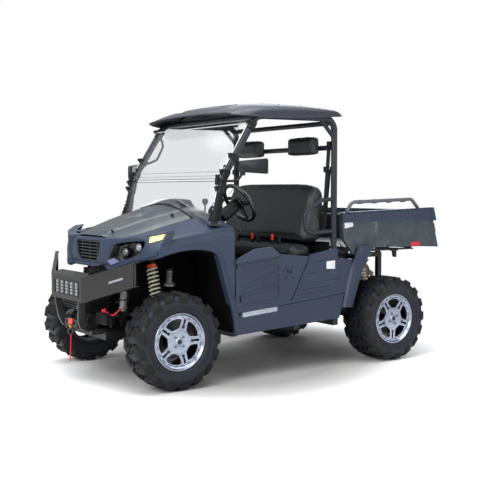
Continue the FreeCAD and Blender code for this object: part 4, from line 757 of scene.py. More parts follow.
def rim(end, side, word):
    """An alloy wheel: barrel, machined face with five split spokes, hub plate, nuts and brake disc."""
    y, track, _, half, turned = WHEELS[end]
    phase = math.radians(turned)
    centre = (side * track, y, AXLE_Z)
    axis = (side, 0, 0)
    face = half - 14
    shape = Shape()
    barrel = [(171, -half), (190, -half), (195, -half + 3), (195, -half + 7), (186, -half + 10),
              (180, -half + 24), (179, face - 16), (186, half - 12), (194, half - 6), (196, half - 2),
              (193, half + 1), (187, half + 1), (184, half - 3), (179, face + 3), (172, face + 1),
              (171, face - 12), (166, face - 30), (164, -half + 40), (171, -half)]
    marks = [1] * 8 + [0] * 6 + [2] * 4
    shape.turned(barrel, centre, axis, 72, marks=marks)
    outlines = [disc(0, 0, 176, 80)]
    for number in range(SPOKES):
        middle = phase + 2 * math.pi * number / SPOKES
        gap = middle + math.pi / SPOKES
        window = [(93, -0.30), (86, 0.0), (93, 0.30), (150, 0.46), (155, 0.25), (157, 0), (155, -0.25),
                  (150, -0.46)]
        window = [(r * math.cos(gap + a), r * math.sin(gap + a)) for r, a in window]
        outlines.append(rounded(window, 12))
        slot = [(112, -6), (112, 6), (157, 8), (157, -8)]
        slot = [(u * math.cos(middle) - v * math.sin(middle), u * math.sin(middle) + v * math.cos(middle))
                for u, v in slot]
        outlines.append(rounded(slot, 4))
    shape.plate(outlines, 15, lambda a, b, level: (side * (track + face - 14 + level), y + a, AXLE_Z + b),
                2.5)
    hub = [(0, face + 9), (24, face + 9), (28, face + 6), (30, face + 2), (62, face + 4), (78, face + 3),
           (84, face - 2)]
    shape.turned(hub, centre, axis, 60)
    shape.turned([(0, face + 12), (15, face + 12), (18, face + 9), (18, face + 6)], centre, axis, 30, mark=1)
    for number in range(4):
        angle = math.radians(45 + 90 * number) + phase
        place = wheel_point(end, side, 0, 45, angle)
        shape.turned([(13, face + 4.5), (13, face + 5.5), (9.5, face + 5.6), (9.5, face - 2), (0, face - 2)],
                     place, axis, 20, marks=[0, 0, 1, 1])
        shape.turned([(0, face + 4), (6, face + 4), (7.5, face + 2), (7.5, face - 2)], place, axis, 6, mark=3)
    for number in range(SPOKES):
        angle = phase + 2 * math.pi * number / SPOKES
        place = wheel_point(end, side, 0, 102, angle)
        shape.turned([(11, face - 2), (11, face + 3.5), (9, face + 5), (0, face + 5)], place, axis, 20,
                     mark=1)
        for turn in (-0.47, -0.16, 0.16, 0.47):
            arc = [wheel_point(end, side, face + 1.4, 166.5, angle + turn + step * 0.026)
                   for step in range(-3, 4)]
            shape.tube(arc, 3.4, 6, mark=1, flat=0.4)
    shape.turned([(28, -18), (128, -18), (128, -24), (28, -24)], centre, axis, 48, mark=3)
    shape.turned([(0, -10), (60, -10), (66, -18), (66, -60), (0, -60)], centre, axis, 40, mark=1)
    piece(f"rim_look_{end}_{word}", shape, ["machined", "wheel_dark", "barrel", "dull_steel"],
          f"wheel_{end}_{word}", sharp=30, stands_for=[f"rim_{end}_{word}"])


def wheels():
    for end in WHEELS:
        for side, word in SIDES:
            tyre(end, side, word)
            rim(end, side, word)


# ---------------------------------------------------------------- hood, cowl, fenders, nose

HOOD = [(-1309, [(0, 1021), (90, 1021), (165, 1020), (225, 1016), (270, 1013), (300, 1010)]),
        (-1250, [(0, 1047), (95, 1046), (185, 1043), (255, 1034), (305, 1024), (338, 1015)]),
        (-1150, [(0, 1087), (100, 1085), (215, 1078), (295, 1063), (350, 1048), (386, 1034)]),
        (-950, [(0, 1157), (110, 1155), (250, 1140), (330, 1122), (380, 1107), (416, 1088)]),
        (-740, [(0, 1228), (130, 1223), (285, 1196), (350, 1180), (405, 1162), (441, 1142)])]


def hood():
    """The tilting hood: a crowned skin with two long creases, a hem and four air slots."""
    rows = skin(HOOD, 6, 9)
    made = []
    for row in rows:
        y = row[0][1]
        share = (y - HOOD[0][0]) / (HOOD[-1][0] - HOOD[0][0])
        crest = between(165, 285, share)
        line = []
        for x, y, z in row:
            inside = 1 - step_up(abs(x), crest - 6, crest + 22)
            # The raised middle, the crease at its edge and the shallow dip inside it.
            z += 11 * inside * step_up(share, -0.05, 0.12) * (1 - 0.45 * share)
            z += 3.5 * bump(abs(x), crest - 4, 18)
            z -= 4 * bump(abs(x), crest * 0.45, 40) * step_up(share, 0.05, 0.4)
            line.append((x, y, z))
        made.append(line)
    shape = Shape()
    shape.grid(made)
    piece("hood_skin", shape, ["patterned"], "hood", solid=5, bevel=1.2, fine=1, stands_for=["hood"])
    trim = Shape()
    for side in (1, -1):
        for x, y, z, turn in ((322, -830, 1168, 0.28), (178, -1232, 1058, 0.2)):
            place = Matrix.Translation((side * x, y, z))
            for angle, axis in ((side * turn, "Y"), (-0.32, "X"), (side * -0.5, "Z")):
                place = place @ Matrix.Rotation(angle, 4, axis)
            trim.block((-30, -9, -3), (30, 9, 3.5), 0, place)
            trim.block((-26, -2, 2), (26, 2, 5.5), 0, place)
    trim.tube([(x, -743, z - 2) for x, _, z in made[-1]], 7, 8)
    piece("hood_trim", trim, ["rubber"], "hood", bevel=1)


def cowl():
    """The panel in front of the screen, with its centre hump."""
    stations = [(-733, [(0, 1236), (110, 1232), (200, 1216), (290, 1194), (350, 1178), (449, 1140)]),
                (-690, [(0, 1258), (105, 1254), (175, 1240), (250, 1208), (340, 1184), (449, 1144)]),
                (-620, [(0, 1276), (100, 1272), (150, 1262), (215, 1218), (330, 1188), (449, 1147)]),
                (-559, [(0, 1276), (95, 1273), (140, 1262), (200, 1216), (330, 1186), (449, 1150)])]
    rows = skin(stations, 5, 6)
    shape = Shape()
    shape.grid(rows)
    piece("cowl_skin", shape, ["patterned"], solid=5, bevel=1.2, fine=1, stands_for=["cowl"])
    trim = Shape()
    trim.tube([(x, y - 1, z + 1) for x, y, z in rows[0]], 6, 8)
    piece("cowl_trim", trim, ["rubber"])


# The edge of the front wheel's arch, as pairs (y, z).
ARCH = [(-1203, 893), (-1160, 903), (-1119, 911), (-1060, 924), (-1000, 935), (-940, 941), (-887, 943),
        (-830, 940), (-777, 933), (-730, 919), (-700, 900), (-680, 862), (-655, 770), (-628, 680),
        (-600, 590), (-575, 500), (-556, 420), (-549, 322)]


def arch_level(y):
    """How high the wheel arch's edge is at a place."""
    for (y0, z0), (y1, z1) in zip(ARCH, ARCH[1:]):
        if y0 <= y <= y1:
            return between(z0, z1, (y - y0) / (y1 - y0))
    return ARCH[0][1] if y < ARCH[0][0] else ARCH[-1][1]


def fenders():
    """The body sides over the front wheels, each with its flared lip and dark liner."""
    stations = [
        (-1204, [(369, 1026), (470, 1024), (560, 1020), (640, 1010), (686, 996), (702, 968), (705, 940)]),
        (-1150, [(394, 1038), (480, 1034), (566, 1029), (640, 1020), (688, 1004), (703, 976), (706, 946)]),
        (-950, [(424, 1088), (500, 1078), (588, 1062), (650, 1048), (690, 1030), (704, 998), (707, 964)]),
        (-740, [(449, 1141), (520, 1120), (600, 1094), (655, 1078), (690, 1058), (704, 1024), (706, 984)]),
        (-640, [(449, 1147), (520, 1128), (600, 1104), (655, 1090), (689, 1070), (703, 1034), (706, 990)]),
        (-552, [(449, 1150), (520, 1132), (600, 1108), (655, 1094), (688, 1074), (702, 1038), (705, 992)])]
    rows = skin(stations, 4, 14, whole=False)
    made = []
    for row in rows:
        y = row[0][1]
        low = arch_level(y)
        x, _, z = row[-1]
        made.append(row + [(between(x, 705, k / 12), y, between(z, low, k / 12)) for k in range(1, 13)])
    last = len(ARCH) - 1
    for side, word in SIDES:
        shape = Shape()
        shape.grid(flip(made, side))
        piece(f"fender_look_{word}", swept(shape), ["body_plastic"], solid=5 * side,
              bevel=1.2, fine=1, stands_for=["front_fenders"] if side > 0 else ())
        flare = Shape()
        rings = []
        for number, (y, z) in enumerate(ARCH):
            ahead = Vector(ARCH[min(number + 1, last)])
            back = Vector(ARCH[max(number - 1, 0)])
            along = (ahead - back).normalized()
            out = Vector((-along.y, along.x))
            wide = between(34, 52, number / last)
            section = ((wide, 704.5), (wide * 0.8, 709), (wide * 0.35, 716), (4, 719), (-5, 715), (-7, 706),
                       (-7, 660), (-2, 660), (-1, 703), (wide * 0.5, 703))
            rings.append([(side * x, y + out.x * reach, z + out.y * reach) for reach, x in section])
        flare.loft(rings)
        piece(f"arch_lip_{word}", swept(flare), ["body_plastic"], bevel=1.5)
        liner = Shape()
        sheet = [(-1180, 905), (-1060, 925), (-887, 940), (-760, 925), (-690, 880), (-640, 720), (-598, 560),
                 (-560, 345)]
        sheet = catmull(sheet, 5)
        liner.grid([[(side * x, y + 6, z - 6) for x in (330, 420, 520, 610, 698)] for y, z in sheet])
        wall = [(y, z) for y, z in sheet if z > 480]
        liner.grid([[(side * (322 + 8 * k), y, between(z, 520, k / 6)) for k in range(7)] for y, z in wall])
        piece(f"arch_liner_{word}", swept(liner), ["deep_black"], solid=4)


# The lamp recess and the outline of the nose's side around it, as pairs (x, z).
RECESS = [(353, 963), (414, 983), (492, 994), (587, 1001), (597, 973), (578, 935), (553, 911), (496, 887),
          (430, 868), (372, 872), (326, 868), (336, 915)]
AROUND = [(290, 1006), (400, 1013), (500, 1026), (612, 1042), (704, 1060), (709, 970), (700, 905), (590, 868),
          (470, 830), (380, 800), (292, 798), (286, 900)]


def grille():
    """The grille's surround with its shelf, the slats before their dark back, and the hood's hinges."""
    shape = Shape()
    outer = [(-222, 1010), (222, 1010), (290, 990), (318, 930), (312, 862), (284, 814), (180, 806),
             (-180, 806), (-284, 814), (-312, 862), (-318, 930), (-290, 990)]
    inner = [(-176, 984), (176, 984), (190, 962), (170, 880), (116, 842), (-116, 842), (-170, 880),
             (-190, 962)]

    def place(x, z, level):
        back = (abs(z - 896) / 116) ** 2 * (20 if z < 896 else 12)
        return (x, -1350 + back + (abs(x) / 300) ** 2 * 20 + level, z)

    shape.plate([rounded(outer, 26), rounded(inner, 14)], 34, place, 11, 4)
    shelf = rounded([(-196, -1352), (-140, -1366), (140, -1366), (196, -1352), (206, -1312), (-206, -1312)],
                    10)
    shape.plate([shelf], 24, lambda a, b, level: (a, b + level * 0.25, 808 + level), 8, 4)
    piece("grille_surround", shape, ["body_plastic"], sharp=50)
    bars = Shape()
    for number in range(7):
        z = 848 + number * 22
        bars.tube([(x, -1326 + (x / 300) ** 2 * 14, z) for x in range(-200, 201, 40)], 5.5, 10, flat=0.55)
    for x in (-120, 0, 120):
        bars.block((x - 3, -1320, 836), (x + 3, -1310, 990))
    bars.front_plate([[(-212, 826), (212, 826), (212, 994), (-212, 994)]], -1306, 3, 1, mark=1)
    piece("grille_look", bars, ["black_gloss", "deep_black"], stands_for=["grille"])
    hinges = Shape()
    for side in (1, -1):
        hinges.turned([(0, -15), (5, -15), (5, 15), (0, 15)], (side * 135, -1318, 1013), (1, 0, 0), 16)
        hinges.block((side * 135 - 15, -1320, 996), (side * 135 + 15, -1316, 1013))
    piece("hood_hinge_barrels", hinges, ["black_plastic"])


def nose():
    """The nose's swept sides with their markers, lamp bowls and lamps, the lips below and the brows above."""
    hole = catmull(RECESS + RECESS[:1], 4)[:-1]
    edge = catmull(AROUND + AROUND[:1], 4)[:-1]
    for side, word in SIDES:
        skin_part = Shape()
        rings = []
        for share in (0.0, 0.08, 0.3, 0.6, 1.0):
            swell = 5 * math.sin(math.pi * share)
            pairs = zip(hole, edge)
            rings.append([(between(a, c, share), between(b, d, share), swell) for (a, b), (c, d) in pairs])
        rows = [[(side * x, nose_y(x, swell + 2) + lean(x, z), z) for x, z, swell in ring] for ring in rings]
        rows.append([(side * (x + (3 if x > 600 else 0)), nose_y(x) + lean(x, z) + (56 if x > 600 else 14), z)
                     for x, z, swell in rings[-1]])
        skin_part.grid(rows, around=True)
        piece(f"nose_side_{word}", skin_part, ["body_plastic"], solid=4 * side, bevel=1.5,
                           fine=1)
        marker = Shape()
        corners = [(633, 990), (706, 1013), (704, 1050), (631, 1030)]
        marker.loft([[(side * x, nose_y(x, out) + lean(x, z), z) for x, z in corners] for out in (2, 12)])
        piece(f"side_marker_{word}", marker, ["amber"], bevel=2)
        bowl = Shape()
        rings = []
        for share, push in ((1.02, -1), (0.97, 6), (0.94, 20), (0.9, 44), (0.84, 56), (0.5, 64), (0.05, 66)):
            inner = [(between(462, x, share), between(930, z, share)) for x, z in hole]
            rings.append([(side * x, nose_y(x) + push, z) for x, z in inner])
        bowl.grid(rings, around=True)
        piece(f"lamp_bowl_{word}", bowl, ["black_gloss"])
        lamps = Shape()
        for x, y, z, radius, mark in ((428, -1262, 921, 30, 1), (528, -1214, 955, 29, 2)):
            centre = (side * x, y, z)
            axis = (side * 0.35, -1, 0.02)
            hood_line = [(radius + 7, -40), (radius + 8, 2), (radius + 4, 8), (radius, 3), (radius - 2, -6)]
            glass = [(radius - 1, -4), (radius - 6, 4), (radius - 16, 9), (0, 12)]
            dish = [(0, -30), (radius - 4, -8)]
            for profile, look in ((hood_line, 0), (glass, mark), (dish, 3)):
                lamps.turned(profile, centre, axis, 32, mark=look)
        piece(f"headlamp_look_{word}", lamps, ["black_gloss", "lamp_glass", "lamp_bright", "silver"],
              stands_for=["headlamps"] if side > 0 else ())
        lip = Shape()
        rings = []
        stations = ((250, 812, 12, 12), (300, 806, 16, 14), (345, 806, 18, 15), (438, 838, 18, 15),
                    (542, 872, 18, 15), (619, 897, 17, 14), (702, 926, 15, 10))
        for x, z, tall, deep in stations:
            rings.append([(side * (x + 0.3 * deep * math.cos(a)), nose_y(x, 2) - deep * math.cos(a),
                           z + tall * math.sin(a)) for a in circle(14)])
        lip.grid([catmull(line, 4) for line in zip(*rings)], along=True)
        facet = [(319, 859), (370, 880), (415, 856), (357, 833)]
        for out, turn in ((11, 1), (4, -1)):
            lip.add([(side * x, nose_y(x, out) - (6 if z < 850 else 0), z) for x, z in facet][::turn],
                    [(0, 1, 2, 3)], 1)
        piece(f"nose_lip_{word}", lip, ["body_plastic", "lavender"])
        brow = Shape()
        rings = []
        for x, z in ((250, 1006), (330, 1004), (420, 1006), (520, 1020), (610, 1036), (668, 1048),
                     (704, 1056)):
            y = nose_y(x, 3) + lean(x, z)
            rings.append([(side * x, y + a, z + b) for a, b in
                          ((-3, -12), (-7, -2), (-2, 8), (16, 12), (64, 18), (64, 6), (20, -10), (4, -14))])
        brow.loft(rings)
        piece(f"nose_brow_{word}", brow, ["body_plastic"], bevel=4)
    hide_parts("nose")


# ---------------------------------------------------------------- bumper, winch, front gear

PLATE_Y = -1507
SLOTS = [-185 + number * 80 for number in range(5)]


def bumper():
    """The folded plates with their blank inserts, swept wings and legs, the bracket and the silver strip."""
    plates = Shape()
    slots = [oblong((left, 608), (left + 50, 708), 4) for left in SLOTS]
    plates.front_plate([oblong((-252, 573), (252, 743), 8)] + slots, PLATE_Y, 6, 2)
    plates.front_plate([[(-215, 590), (215, 590), (215, 730), (-215, 730)]], -1467, 4, 1)
    shelf = rounded([(-254, PLATE_Y), (254, PLATE_Y), (246, -1427), (-246, -1427)], 12)
    plates.plate([shelf], 7, lambda a, b, level: (a, b, 738 + level + (b - PLATE_Y) * 0.3), 2.5, 3)
    plates.block((-250, PLATE_Y, 572), (250, -1457, 578))
    plates.block((-160, -1443, 366), (160, -1341, 372))
    for number in range(3):
        plates.block((-165, -1452, 506 + number * 17), (165, -1444, 514 + number * 17))
    for side in (1, -1):
        rings = []
        for x, y, low, high in ((248, PLATE_Y, 572, 744), (450, -1403.5, 641, 806), (630, -1312, 704, 861)):
            rings.append([(side * x, y, low), (side * x, y + 6, low), (side * x, y + 6, high),
                          (side * x, y, high)])
        plates.loft(rings)
        plates.loft([[(side * x, y, z) for x, y in ((624, -1313), (630, -1313), (630, -1290), (624, -1290))]
                     for z in (710, 855)])
        outer = catmull([(200, -1506, 580), (178, -1500, 490), (160, -1490, 424), (156, -1462, 374),
                         (168, -1404, 350), (190, -1330, 342)], 5)
        inner = catmull([(200, -1456, 580), (178, -1450, 490), (160, -1440, 442), (156, -1424, 406),
                         (168, -1388, 382), (190, -1330, 368)], 5)
        plates.loft([[(side * (x - 12), y, z), (side * (x + 12), y, z), (side * (x + 12), b, c),
                      (side * (x - 12), b, c)] for (x, y, z), (_, b, c) in zip(outer, inner)])
        x = side * 205
        for half, low, high, front, back in ((16, 340, 371, -1417, -1290), (12, 640, 680, -1505, -1160)):
            bar = ((x - half, low), (x + half, low), (x + half, high), (x - half, high))
            plates.loft([[(a, y, b) for a, b in bar] for y in (front, back)])
    piece("bumper_look", plates, ["bumper_paint"], bevel=1.2, fine=1, stands_for=["front_bumper"])
    trim = Shape()
    trim.front_plate([oblong((-206, 598), (206, 720), 14), oblong((-192, 611), (192, 707), 8)], -1511, 5, 1.5)
    for left in SLOTS:
        trim.front_plate([oblong((left + 7, 614), (left + 43, 702), 5)], -1505, 6, 1.5, mark=1)
        for level in (636, 658, 680):
            trim.block((left + 7, -1506.5, level - 2), (left + 43, -1503, level + 2), 2)
    piece("bumper_frame", trim, ["bumper_paint", "silver", "deep_black"])
    for side, word in SIDES:
        flange = Shape()
        high = ((248, PLATE_Y - 1, 743), (320, -1471, 765), (650, -1302, 868))
        low = ((248, PLATE_Y, 572), (650, -1302, 710))
        for line, section in ((high, ((-1, -5), (-2, 1), (2, 3), (28, 2), (28, -2), (4, -3))),
                              (low, ((-1, 4), (-1, -2), (26, -2), (26, 1), (3, 2), (2, 4)))):
            flange.loft([[(side * x, y + a, z + b) for a, b in section] for x, y, z in line])
        for share in (0.12, 0.5, 0.88):
            spot = (side * between(250, 650, share), between(PLATE_Y, -1302, share) - 1,
                    between(652, 790, share) - 52)
            flange.turned([(0, -4), (7, -4), (9, -1), (9, 3)], spot, (side * -0.46, 0.89, 0), 6, mark=1)
        piece(f"bumper_flange_{word}", flange, ["bumper_paint", "bolt"], bevel=1, fine=1)
    bracket = Shape()
    outline = [(-1452, 742), (-1448, 790), (-1420, 822), (-1330, 824), (-1318, 800), (-1330, 742)]
    spots = ((-1424, 766), (-1424, 796), (-1388, 776), (-1388, 806), (-1352, 790))
    holes = [disc(y, z, 8, 16) for y, z in spots]
    bracket.side_plate([rounded(outline, 8)] + holes, 1, 242, 248, 1.2)
    bracket.block((196, -1446, 744), (246, -1330, 750))
    piece("nose_bracket", bracket, ["black_plastic"])
    strip = Shape()
    out = Vector((0.456, -0.89, 0)) * 1.6
    section = ((0, -8), (1.6, -7), (1.6, 7), (0, 8))
    strip.loft([[Vector(point) + out * k + Vector((0, 0, h)) for k, h in section]
                for point in ((457, -1403, 722), (560, -1350, 757))])
    piece("blank_strip", strip, ["silver"], bevel=0.5, fine=1)


def winch():
    """The winch's wound rope, ribbed motor, roller fairlead, leads, control box, and hook with its pad."""
    dress("winch", "winch_paint", 1.2)
    drum_y, drum_z = -1389, 432
    steps = 320
    gear = Shape()
    turns = [(-66 + 132 * k / steps, 2 * math.pi * 20 * k / steps) for k in range(steps + 1)]
    gear.tube([(x, drum_y + 27 * math.cos(a), drum_z + 27 * math.sin(a)) for x, a in turns], 4, 6, mark=1)
    for number in range(7):
        gear.turned([(46, -3), (48.5, -2), (48.5, 2), (46, 3)], (98 + number * 12, drum_y, drum_z), steps=32)
    for x in (-72, 72):
        gear.turned([(20, -4), (52, -4), (54, -2), (54, 2), (52, 4), (20, 4)], (x, drum_y, drum_z), steps=40)
    for x in (-84, 84):
        gear.turned(roller(13, 24, 1), (x, -1466, 409), (0, 0, 1), 20, mark=2)
    for z in (391, 429):
        gear.turned(roller(9, 72, 1), (0, -1466, z), steps=18, mark=2)
    for x, way in ((-186, -1), (190, 1)):
        gear.turned([(0, 0), (34, 0), (38, 3 * way)], (x, drum_y, drum_z), steps=30)
        for k in range(4):
            a = math.pi / 4 + k * math.pi / 2
            spot = (x, drum_y + 30 * math.cos(a), drum_z + 30 * math.sin(a))
            gear.turned([(0, 4 * way), (5, 4 * way), (5, 0)], spot, steps=6, mark=3)
    piece("winch_gear", gear, ["black_plastic", "rope", "dull_steel", "bolt"], sharp=40)
    leads = Shape()
    for shift in (0, 1):
        path = catmull([(298 + 24 * shift, -1366, 516), (318 + 22 * shift, -1364, 528),
                        (352, -1362, 508 - 8 * shift), (423, -1360, 498 - 12 * shift),
                        (480, -1350, 528 - 8 * shift), (500, -1330, 556)], 8)
        leads.tube(path, 4.4, 8, mark=shift)
    for x in (290, 318):
        leads.turned([(0, 26), (7, 24), (10, 16), (10, 0), (0, 0)], (x, -1366, 502), (0.1, 0, 1), 14)
    box = oblong((-1396, 424), (-1336, 506), 12)
    leads.loft([[(x, y, z) for y, z in box] for x in (244, 248, 396, 400)], mark=1)
    leads.tube(catmull([(398, -1366, 470), (410, -1366, 456), (402, -1360, 430), (372, -1350, 408)], 6), 7, 8,
               mark=1)
    piece("winch_leads", leads, ["red_paint", "rubber"], bevel=1, fine=1)
    hook = Shape()
    bend = [math.radians(100 - 330 * k / 30) for k in range(31)]
    hook.tube([(0, -1473 + 21 * math.cos(a), 350 + 21 * math.sin(a)) for a in bend], lambda t: 9 - 3 * t, 12)
    pad = rounded([(-30, 398), (34, 402), (36, 440), (-24, 436)], 6)
    hook.front_plate([pad], -1482, 14, 2, mark=1)
    hook.turned(roller(13, 16, 2), (2, -1473, 384), steps=18, mark=2)
    hook.block((-9, -1484, 358), (11, -1478, 396), 3)
    piece("winch_hook", hook, ["dull_steel", "orange", "brass", "brass"], bevel=1, fine=1)


def front_gear():
    """What shows behind the bumper: radiator, canisters, hoses, brake lines and calipers."""
    core = Shape()
    core.block((-205, -1268, 430), (205, -1226, 770), 0)
    for number in range(16):
        core.block((-190, -1272, 446 + number * 20), (190, -1266, 449 + number * 20), 1)
    for z in (756, 424):
        core.block((-212, -1274, z), (212, -1220, z + 20), 1)
    piece("radiator", core, ["deep_black", "black_plastic"], bevel=2, fine=1)
    parts = Shape()
    parts.turned([(0, 0), (20, 0), (24, 5), (25, 12), (25, 96), (22, 104), (12, 108), (12, 124), (0, 124)],
                 (392, -1262, 548), (0.04, 0.02, 1), 32)
    parts.turned([(25, 0), (27.5, 1), (27.5, 9), (25, 10)], (393, -1261, 590), (0.04, 0.02, 1), 32, mark=1)
    parts.turned([(0, -20), (22, -20), (26, -14), (26, 12), (20, 18), (0, 18)], (400, -1266, 540),
                 (1, 0.2, 0.1), 20)
    parts.turned([(0, -60), (44, -56), (40, -40), (22, -30), (20, 30), (24, 34), (24, 52), (10, 58), (0, 58)],
                 (404, -906, 726), (0.1, 0, 1), 24)
    parts.turned([(0, 50), (25, 52), (25, 68), (0, 72)], (404, -906, 726), (0.1, 0, 1), 24, mark=1)
    piece("canister", parts, ["cast_alloy", "black_plastic"], sharp=50)
    hoses = Shape()
    for side in (1, -1):
        for shift, x in ((0, 240), (26, 270)):
            path = catmull([(side * x, -1250, 740 - shift), (side * (x + 60), -1200, 700 - shift),
                            (side * (x + 30), -1130, 640), (side * 190, -1060, 620)], 6)
            hoses.tube(path, 12, 12)
        line = catmull([(side * 330, -1010, 860), (side * 400, -985, 700), (side * 440, -975, 580),
                        (side * 430, -985, 500)], 7)
        hoses.tube(line, 5, 8)
    piece("hoses", hoses, ["rubber"])
    axle_y = WHEELS["front"][0]
    for side, word in SIDES:
        brake = Shape()
        section = [(150, 24), (150, -26), (88, -26), (88, 24)]
        rings = []
        for number in range(9):
            a = math.radians(55 + number * 7)
            pinch = 1 - 0.12 * abs(number - 4) / 4
            rings.append([(side * (620 + x * pinch), axle_y + r * math.cos(a), AXLE_Z + r * math.sin(a))
                          for r, x in section])
        brake.loft(rings)
        brake.turned([(0, -14), (19, -14), (21, -10), (21, 10), (17, 15), (0, 15)], (side * 590, -985, 436),
                     (side, 0, 0), 24)
        piece(f"caliper_{word}", brake, ["cast_alloy"], f"knuckle_{word}", bevel=3)


def shocks():
    """Coil-over shocks: cream wound springs on dark bodies, with orange collars in front and red behind."""
    ends = (("front", (372, -1035, 862), (466, -1029, 470), 0.83, 9, "orange"),
            ("rear", (385, 918, 770), (435, 918, 462), 0.73, 7, "red_paint"))
    for end, top, low, seat, coils, collar in ends:
        for side, word in SIDES:
            high = Vector((side * top[0], *top[1:]))
            base = Vector((side * low[0], *low[1:]))
            way = (high - base).normalized()
            length = (high - base).length
            shape = Shape()
            body = ((16, 0.16), (30, 0.17), (36, 0.18), (36, 0.2), (16, 0.21), (16, 0.5), (24, 0.52),
                    (24, seat - 0.01), (32, seat), (34, seat + 0.015), (34, seat + 0.07), (26, seat + 0.08),
                    (26, 0.95), (14, 0.97))
            profile = [(0, -16), (13, -16), (16, 0)] + [(radius, length * share) for radius, share in body]
            profile += [(14, length + 14), (0, length + 14)]
            shape.turned(profile, base, way, 28, marks=[0] * 11 + [2] * 3 + [0] * 4)
            sideways = way.orthogonal().normalized()
            other = way.cross(sideways)
            coil = []
            count = coils * 20
            for number in range(count + 1):
                a = 2 * math.pi * number / 20
                rise = length * between(0.2, seat, number / count)
                coil.append(base + way * rise + (sideways * math.cos(a) + other * math.sin(a)) * 35.5)
            shape.tube(coil, 6.6, 9, mark=1)
            for spot in (base, high):
                shape.turned([(9, -22), (17, -22), (18, -19), (18, 19), (17, 22), (9, 22)], spot, (0, 1, 0),
                             20, mark=0)
                shape.turned([(0, -27), (8, -27), (8, 27), (0, 27)], spot, (0, 1, 0), 6, mark=3)
            piece(f"shock_{end}_{word}", shape, ["black_gloss", "spring_cream", collar, "bolt"],
                              sharp=45)
    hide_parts("shocks")


# ---------------------------------------------------------------- doors and sides

def doors():
    """The doors keep their solids and get a raised flap, ridges, a latch cluster and hinge slits."""
    flap = [(-566, 889), (-443, 906), (-356, 923), (-246, 936), (-200, 918), (-159, 872), (-190, 862),
            (-352, 848), (-559, 829)]
    flap = [(max(y, -541), min(z, 929 if y > -400 else 850 + (y + 541) * 0.36)) for y, z in flap]
    # How far each corner of the flap stands out from the door.
    rises = [3, 3, 3, 3, 4, 8, 20, 24, 20]
    ridges = (((-498, 656), (-167, 753), 5), ((-498, 594), (-167, 670), 4), ((-466, 527), (-194, 548), 4),
              ((-498, 776), (-167, 810), 4))
    for side, word in SIDES:
        dress(f"door_{word}", "body_plastic", 1.6)
        skin_part = Shape()
        skin_part.loft([[(side * 703.5, y, z) for y, z in flap],
                        [(side * (703.5 + rise), y, z) for (y, z), rise in zip(flap, rises)]])
        for start, end, wide in ridges:
            section = ((0, -7), (2.4, -2), (2.4, 2), (0, wide))
            skin_part.loft([[(side * (703 + x), y, z + h) for x, h in section] for y, z in (start, end)])
        piece(f"door_form_{word}", skin_part, ["body_plastic"], f"door_{word}", bevel=2.5)
        latch = Shape()
        plate = rounded([(-112, 694), (-24, 688), (-22, 792), (-110, 800)], 6)
        dish = rounded([(-92, 718), (-44, 714), (-42, 766), (-90, 770)], 10)
        latch.side_plate([plate, dish], side, 704, 707, 1)
        floor = rounded([(-90, 720), (-46, 716), (-44, 764), (-88, 768)], 9)
        latch.side_plate([floor], side, 701, 703, 0.8, mark=1)
        grip = rounded([(-86, 742), (-50, 739), (-50, 752), (-86, 756)], 4)
        latch.side_plate([grip], side, 703, 714, 2, mark=2)
        for y, z in ((-100, 777), (-41, 780), (-97, 704), (-38, 701)):
            latch.turned([(0, 3.6), (4, 3.4), (5.5, 1), (5.5, -1)], (side * 706.5, y, z), (side, 0, 0), 12,
                         mark=1)
        piece(f"door_latch_{word}", latch, ["body_plastic", "deep_black", "black_plastic"], f"door_{word}",
              bevel=0.8, fine=1)
        slits = Shape()
        for y, z in ((-536, 812), (-505, 574)):
            slit = rounded([(y - 5, z - 24), (y + 5, z - 22), (y + 5, z + 24), (y - 5, z + 22)], 4)
            slits.side_plate([slit], side, 703, 706, 0.8)
        piece(f"door_slits_{word}", slits, ["deep_black"], f"door_{word}")


def sides():
    """Side panels, sills and the guards before the rear wheels, with the blank label and strip."""
    dress("side_panels", "body_plastic", 1.6)
    dress("sills", "body_plastic", 3)
    for side, word in SIDES:
        form = Shape()
        crease = [(side * 703, -500, 470), (side * 710, -500, 480), (side * 704, -500, 492)]
        rear_end = [(side * 703, 470, 551), (side * 710, 470, 560), (side * 704, 470, 572)]
        form.loft([crease, rear_end])
        guard_in = [(544, 441), (588, 560), (625, 664), (665, 780), (720, 846), (740, 916)]
        guard_out = [(452, 448), (480, 560), (512, 680), (549, 796), (578, 862), (600, 912)]
        rows = []
        for (y0, z0), (y1, z1) in zip(catmull(guard_out, 5), catmull(guard_in, 5)):
            high = min(max((z0 - 750) / 60, 0), 1)
            profile = ((704 + 14 * high, 0), (722 + 9 * high, 0.12), (728 + 7 * high, 0.35),
                       (728 + 7 * high, 0.7), (724 + 9 * high, 0.92), (712 + 12 * high, 1.0),
                       (between(660, 722, high), 1.02 - 0.04 * high),
                       (between(560, 720, high), 1.02 - 0.1 * high))
            rows.append([(side * x, between(y0, y1, t), between(z0, z1, t)) for x, t in profile])
        form.grid(rows)
        piece(f"side_form_{word}", form, ["body_plastic"], solid=3 * side, bevel=2, fine=1)
    marks = Shape()
    marks.side_plate([rounded([(288, 750), (373, 744), (372, 809), (288, 805)], 2)], 1, 705, 706.4, 0.4)
    piece("blank_label_side", marks, ["blank_label"])
    for side, word in SIDES:
        strip = Shape()
        outline = rounded([(-483, 444), (-178, 466), (-178, 498), (-487, 482)], 2)
        strip.side_plate([outline], side, 704.4, 706.4, 0.6)
        piece(f"blank_strip_{word}", strip, ["silver"])


# ---------------------------------------------------------------- bed

